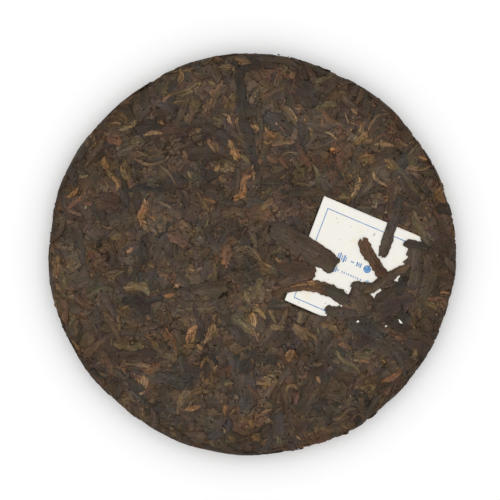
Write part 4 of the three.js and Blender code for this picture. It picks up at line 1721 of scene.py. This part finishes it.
    (OLIVE, 0.8, ((-39.6, -85.8, 2.4), (-38, -90.4, 3))),
    (RUSSET, 1.0, ((-10.6, 4.6, 4), (-12, 0, 5.4), (-13.4, -6, 3.4)), 0.4, 0.1, 0.4),
    (TAN, 0.3,
     ((-8.4, 3.4, 2.8), (-3.8, 2.4, 3.6), (0.4, 1, 3.2),
      (3.6, -2.2, 2.6), (6.2, -5.6, 1.8)), 0.38, 0.12, 0.4),
    (OLIVE, 0.9, ((9.4, -7, 2), (11.4, -7.6, 2.8), (13.2, -7.4, 1.4))),
    (TAN, 0.4, ((-31, -7.4, 1.2), (-27.6, -8.4, 1.2))),
    (OLIVE, 0.8, ((-3.6, -18, 1.8), (-2.2, -21.2, 2.8), (-0.8, -24.2, 1.8))),
    (TAN, 0.0, ((-95.4, -14.8, 3), (-91.6, -19, 3.6))),
    (TAN, 0.3, ((-51.2, -4.2, 2.4), (-47.4, -6.4, 1.8))),
    (TAN, 0.4, ((-37.8, -30.4, 1.4), (-34, -30.6, 1.2))),
    # Lower right
    (OLIVE, 0.9, ((20.4, -35.4, 3), (24.6, -38.6, 6.2), (27.6, -42, 4)), 0.4, 0.15),
    (TAN, 0.9, ((26.4, -37.8, 1.4), (29.4, -39.8, 2), (32.4, -42.6, 0.8))),
    (TAN, 0.3, ((33.4, -34, 2), (38, -35, 4), (42.6, -37.6, 2.4)), 0.5, 0.15, 0.5),
    (OLIVE, 1.0, ((32.4, -36.4, 1.6), (33.6, -38.8, 2.2))),
    (BUD, 0.3, ((20.8, -47.2, 3.2), (19.4, -50, 5.4), (17.4, -52.6, 3)), 0.45, 0.15, 0.4),
    (BUD, 0.1, ((42.8, -44.2, 1.4), (46, -45.4, 2.8), (49.8, -47, 1.8))),
    (OLIVE, 0.5, ((50.4, -50, 4.6), (54.4, -50.4, 6.8), (59, -51, 4)), 0.4, 0.15, 0.4),
    (RUSSET, 1.0, ((53.6, -52.4, 1.8), (58.2, -53.2, 2.6)), 0.55, 0.15),
    (BUD, 0.1, ((64.2, -62.8, 2), (68.4, -61.4, 3.4), (74.8, -57.4, 1.2))),
    (OLIVE, 0.9, ((80.6, -46.6, 1.8), (80.6, -50, 3.4), (80, -53, 2.4))),
    (TAN, 0.1, ((90.8, -22.6, 3), (93.2, -24.4, 4.2), (95, -26.4, 3))),
    (RUSSET, 1.0, ((87.4, -3.8, 1.8), (87.4, -9, 2.6), (85.4, -16.2, 2))),
    (RUSSET, 1.0, ((70.2, -41, 1.8), (74.8, -42, 2))),
    (TAN, 0.5, ((5.4, -62.6, 1.8), (9.4, -61, 4), (12.8, -64.2, 1.2))),
    (TAN, 0.3, ((17, -68.6, 1.6), (18.2, -65.4, 2.2), (21.4, -65, 2), (22.8, -67.2, 1))),
    (BUD, 0.0, ((-0.8, -82, 2.4), (1, -86.2, 2.4))),
    (OLIVE, 1.0, ((1.2, -81, 1.6), (5.6, -78.8, 2.2), (10.2, -77, 1.4))),
    (BUD, 0.0, ((0.4, -90, 3), (4.6, -92, 3.4)), 0.5, 0.15, 0.5),
    (STEM, 0.9, ((39.6, -81.2, 1.6), (43.6, -80.4, 2.2), (47.4, -76.6, 2), (51.4, -76, 1.4))),
    (RUSSET, 0.5, ((54, -70.4, 2.4), (54, -76, 3.2), (55.6, -82.2, 2.4))),
    (OLIVE, 1.0, ((27, -53.8, 1.2), (31, -54.6, 2.2), (35.6, -53.6, 1.6))),
    (TAN, 0.2, ((40.2, -52, 1.6), (43.8, -53.8, 1.8))),
    (TAN, 0.2, ((64.4, -52, 1.4), (66.6, -54, 1.6))),
    (TAN, 0.8, ((22.6, -90.4, 2), (24.8, -92.4, 1.4))),
    (BUD, 0.0, ((12, -1.8, 1.6), (14.6, -4.4, 2))),
    (OLIVE, 0.9, ((1, -26, 1.4), (4.4, -28.6, 2.4), (7.2, -32.4, 1.4))),
    (OLIVE, 0.8, ((8.4, -27.6, 1.4), (10.4, -31, 2.2), (12.2, -34.4, 1.2))),
    (STEM, 1.0, ((0.6, -36, 1), (3.8, -43.8, 1.4))),
)


@dataclass(frozen=True)
class LaidLeaves:
    """Builds leaves that are listed one by one, pressed onto what lies under them. Lengths are in mm."""

    shape: CakeShape
    name: str
    leaves: tuple[LaidLeaf, ...]
    step: float = 0.9
    least_steps: int = 6
    columns: int = 8
    edge_lift: float = -0.2
    end_length: float = 1.6
    torn_depth: float = 1.4

    @staticmethod
    def reach_along(line: Array) -> Array:
        """How far along a line each of its points is."""
        return np.concatenate([[0], np.cumsum(np.linalg.norm(np.diff(line[:, :2], axis=0), axis=1))])

    def smooth_line(self, leaf: LaidLeaf) -> Array:
        """A smooth line through a leaf's points, at even steps.

        Args:
            leaf: The leaf.

        Returns:
            One row of place and width for each step.
        """
        given = np.array(leaf.line, float)
        reach = self.reach_along(given)
        count = max(self.least_steps, math.ceil(reach[-1] / self.step))
        padded = np.concatenate([[2 * given[0] - given[1]], given, [2 * given[-1] - given[-2]]])
        rows = []
        for distance in np.linspace(0, reach[-1], count + 1):
            i = min(int(np.searchsorted(reach, distance, side="right")) - 1, len(given) - 2)
            t = (distance - reach[i]) / (reach[i + 1] - reach[i])
            before, start, end, after = padded[i : i + 4]
            bend = 2 * before - 5 * start + 4 * end - after
            twist = 3 * start - before - 3 * end + after
            rows.append(0.5 * (2 * start + (end - before) * t + bend * t**2 + twist * t**3))
        return np.array(rows)

    def leaf(self, leaf: LaidLeaf, number: int) -> tuple[LeafGrid, Array, Array]:
        """Shapes one leaf.

        Args:
            leaf: The leaf.
            number: Its place in the row of leaves, which gives it torn edges of its own.

        Returns:
            Its flat grid, its points and where each point is along its fibres.
        """
        line = self.smooth_line(leaf)
        stations = len(line) - 1
        grid = LeafGrid(stations, self.columns)
        along, across, is_top = grid.places.T
        station = np.rint((along + 0.5) * stations).astype(int)
        tangent = np.gradient(line[:, :2], axis=0)
        tangent /= np.linalg.norm(tangent, axis=1, keepdims=True)
        normal = np.stack([-tangent[:, 1], tangent[:, 0]], 1)
        reach = self.reach_along(line)
        total = reach[-1]

        end_room = np.minimum(reach / self.end_length, (total - reach) / self.end_length)
        rounding = np.sqrt(np.clip(1 - (1 - np.clip(end_room, 0, 1)) ** 2, 0.02, 1))
        blunt = np.interp(reach, [0, total], leaf.blunt)
        rounding = rounding * (1 - blunt) + blunt * np.clip(end_room * 6 + 0.75, 0, 1)
        sides = zip(reach[station], np.sign(across))
        torn_side = np.array([self.torn_side(distance, side, number) for distance, side in sides])
        torn_end = np.array([noise.noise((a * 2.2, number * 5.7, 2.5)) for a in across])
        half = line[station, 2] / 2 * rounding[station] * (1 + leaf.ragged * torn_side * 1.6)
        push = torn_end * self.torn_depth * (np.abs(along) * 2) ** 8
        side = half * across
        plan = line[station, :2] + normal[station] * side[:, None] + tangent[station] * push[:, None]

        wave = np.array([noise.noise((p[0] * 0.22, p[1] * 0.22, number * 1.9)) for p in plan])
        crown = leaf.crown * (1 - across**2) + 0.25 * wave * (1 - across**4)
        top = leaf.lift * (1 - 0.35 * np.abs(across) ** 6) + crown
        lift = np.where(is_top > 0.5, top, self.edge_lift)
        points = self.shape.on_face(plan[:, 0] * MM, plan[:, 1] * MM, lift * MM)
        fibre = np.stack([reach[station] * MM, side * MM, np.full(len(plan), number * 13.7)], 1)
        return grid, points, fibre

    @staticmethod
    def torn_side(reach: float, side: float, number: int) -> float:
        """How far out a torn edge stands: coarse notches with fine ones on them."""
        coarse = noise.noise((reach * 0.55, side * 3 + number * 7.3, 0.5))
        return coarse + 0.6 * noise.noise((reach * 1.7, side * 5 + number * 3.1, 4.5))

    def build(self, materials: dict[LeafKind, Material]) -> Object:
        """Joins the leaves into one object.

        Args:
            materials: The finish of each kind of leaf.

        Returns:
            The piece.
        """
        kinds = sorted({leaf.kind for leaf in self.leaves}, key=lambda kind: kind.value)
        joined = Gathering()
        slots: list[int] = []
        smooth: list[bool] = []
        kept: dict[str, list[Array]] = {"leaf_at": [], "fibre": [], "tint": [], "seat": []}
        for number, leaf in enumerate(self.leaves):
            grid, points, fibre = self.leaf(leaf, number)
            seat = points.mean(axis=0) + (0, 0, leaf.dust * MM)
            joined.add(points, grid.faces)
            slots += [kinds.index(leaf.kind)] * len(grid.faces)
            smooth += grid.smooth()
            own = grid.places, fibre, np.full(len(points), leaf.tint), np.tile(seat, (len(points), 1))
            for rows, values in zip(kept.values(), own):
                rows.append(values)
        mesh = joined.mesh(self.name, smooth)
        mesh.polygons.foreach_set("material_index", slots)
        for name, rows in kept.items():
            store(mesh, name, np.concatenate(rows))
        return linked_object(self.name, mesh, *(materials[kind] for kind in kinds))


# ---------------------------------------------------------------------------------------------------------
# The core


@dataclass(frozen=True)
class BrokenCore:
    """The disc of broken tea under the leaves, which shows in the gaps between them."""

    shape: CakeShape
    relief: float = 0.35 * MM
    crumb: float = 3.2 * MM
    segments: int = 560
    steps: tuple[int, int, int, int] = (100, 16, 36, 16)

    def build(self, material: Material) -> Object:
        """Builds the core with its crumbs as real relief.

        Args:
            material: Its finish.

        Returns:
            The piece.
        """
        mesh = self.shape.skin("broken_core", self.segments, self.steps)
        points = points_of(mesh)
        heights = np.array([noise.fractal(p / self.crumb, 0.8, 2.0, 3) for p in points])
        set_points(mesh, points + normals_of(mesh) * (heights * self.relief)[:, None])
        return linked_object("broken_core", mesh, material)


def rest_on_table(mesh: Mesh, give: float = 0.35 * MM, still: float = 8.0) -> None:
    """Flattens what would poke through the table, but keeps the order of what lies on what.

    Args:
        mesh: The piece's mesh.
        give: How far over the table the flattening starts to show.
        still: Over how many times that height nothing moves.
    """
    points = points_of(mesh)
    low = points[:, 2] < still * give
    points[low, 2] = give * np.log1p(np.exp(points[low, 2] / give))
    set_points(mesh, points)


# ---------------------------------------------------------------------------------------------------------
# The studio


@dataclass(frozen=True)
class Studio:
    """A white table under even light, seen from straight above."""

    view_width: float = 248.15 * MM
    view_centre: tuple[float, float] = (-0.7 * MM, 1.9 * MM)
    rim_height: float = 8.5 * MM
    distance: float = 2.0
    sensor: float = 36.0
    clip_end: float = 50.0
    floor_size: float = 12.0
    sky: float = 1.05
    white: Linear = (1.0, 1.0, 1.0, 1.0)

    def floor(self) -> Object:
        """The table top."""
        half = self.floor_size / 2
        corners = np.array([(-half, -half, 0), (half, -half, 0), (half, half, 0), (-half, half, 0)])
        matt = Surface("white_table").dressed(Base_Color=self.white, Roughness=1.0, Specular_IOR_Level=0.0)
        return linked_object("studio_floor", smooth_mesh("studio_floor", corners, [(0, 1, 2, 3)]), matt)

    def light(self) -> None:
        """Even light from all over the sky."""
        scene = bpy.context.scene
        scene.world = bpy.data.worlds.new("studio_sky")
        scene.world.use_nodes = True
        background = scene.world.node_tree.nodes["Background"]
        background.inputs["Color"].default_value = self.white
        background.inputs["Strength"].default_value = self.sky
        scene.view_settings.view_transform = "Standard"
        scene.view_settings.look = "None"

    def camera(self) -> None:
        """The camera, which looks straight down."""
        data = bpy.data.cameras.new("camera")
        data.sensor_width = self.sensor
        data.lens = self.sensor * self.distance / self.view_width
        data.clip_end = self.clip_end
        made = bpy.data.objects.new("camera", data)
        made.location = (*self.view_centre, self.rim_height + self.distance)
        bpy.context.scene.collection.objects.link(made)
        bpy.context.scene.camera = made


def carry(piece: Object, slot: str, *nodes: str) -> None:
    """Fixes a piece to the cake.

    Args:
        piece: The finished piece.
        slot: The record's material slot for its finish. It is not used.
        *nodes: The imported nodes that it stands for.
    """
    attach(piece, BODY)
    if nodes:
        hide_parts(*nodes)
    log.info("%s: %d faces", piece.name, len(piece.data.polygons))


def main() -> None:
    """Builds the cake's looks, piece by piece."""
    logging.basicConfig(level=logging.INFO, format="%(message)s")
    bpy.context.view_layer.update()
    shape = CakeShape()
    ticket = Ticket(shape)
    materials = {spec.kind: spec.finish.build() for spec in SPECS}

    core = BrokenCore(shape).build(BrokenTeaFinish().build())
    ticket.press_under(core.data)
    rest_on_table(core.data)
    carry(core, TEA_SLOT, TEA_NODE)

    skin = linked_object("skin", shape.skin("skin", 180, (60, 10, 30, 16)))
    store(skin.data, "skin_normal", normals_of(skin.data))
    for spec in SPECS:
        leaves = PressedLeaves(spec, skin).build(materials[spec.kind])
        ticket.press_under(leaves.data)
        rest_on_table(leaves.data)
        carry(leaves, TEA_SLOT)
    bpy.data.objects.remove(skin)

    carry(LaidLeaves(shape, "face_leaves", FACE_LEAVES).build(materials), TEA_SLOT)
    carry(LaidLeaves(shape, "crossing_leaves", CROSSING_LEAVES).build(materials), TEA_SLOT)
    paper = PaperFinish().build()
    carry(ticket.sheet(paper), PAPER_SLOT, TICKET_NODE)
    carry(ticket.scraps(paper), PAPER_SLOT)
    carry(ticket.ink(InkFinish().build()), PAPER_SLOT)

    studio = Studio()
    studio.floor()
    studio.light()
    studio.camera()


if __name__ == "__main__":
    main()
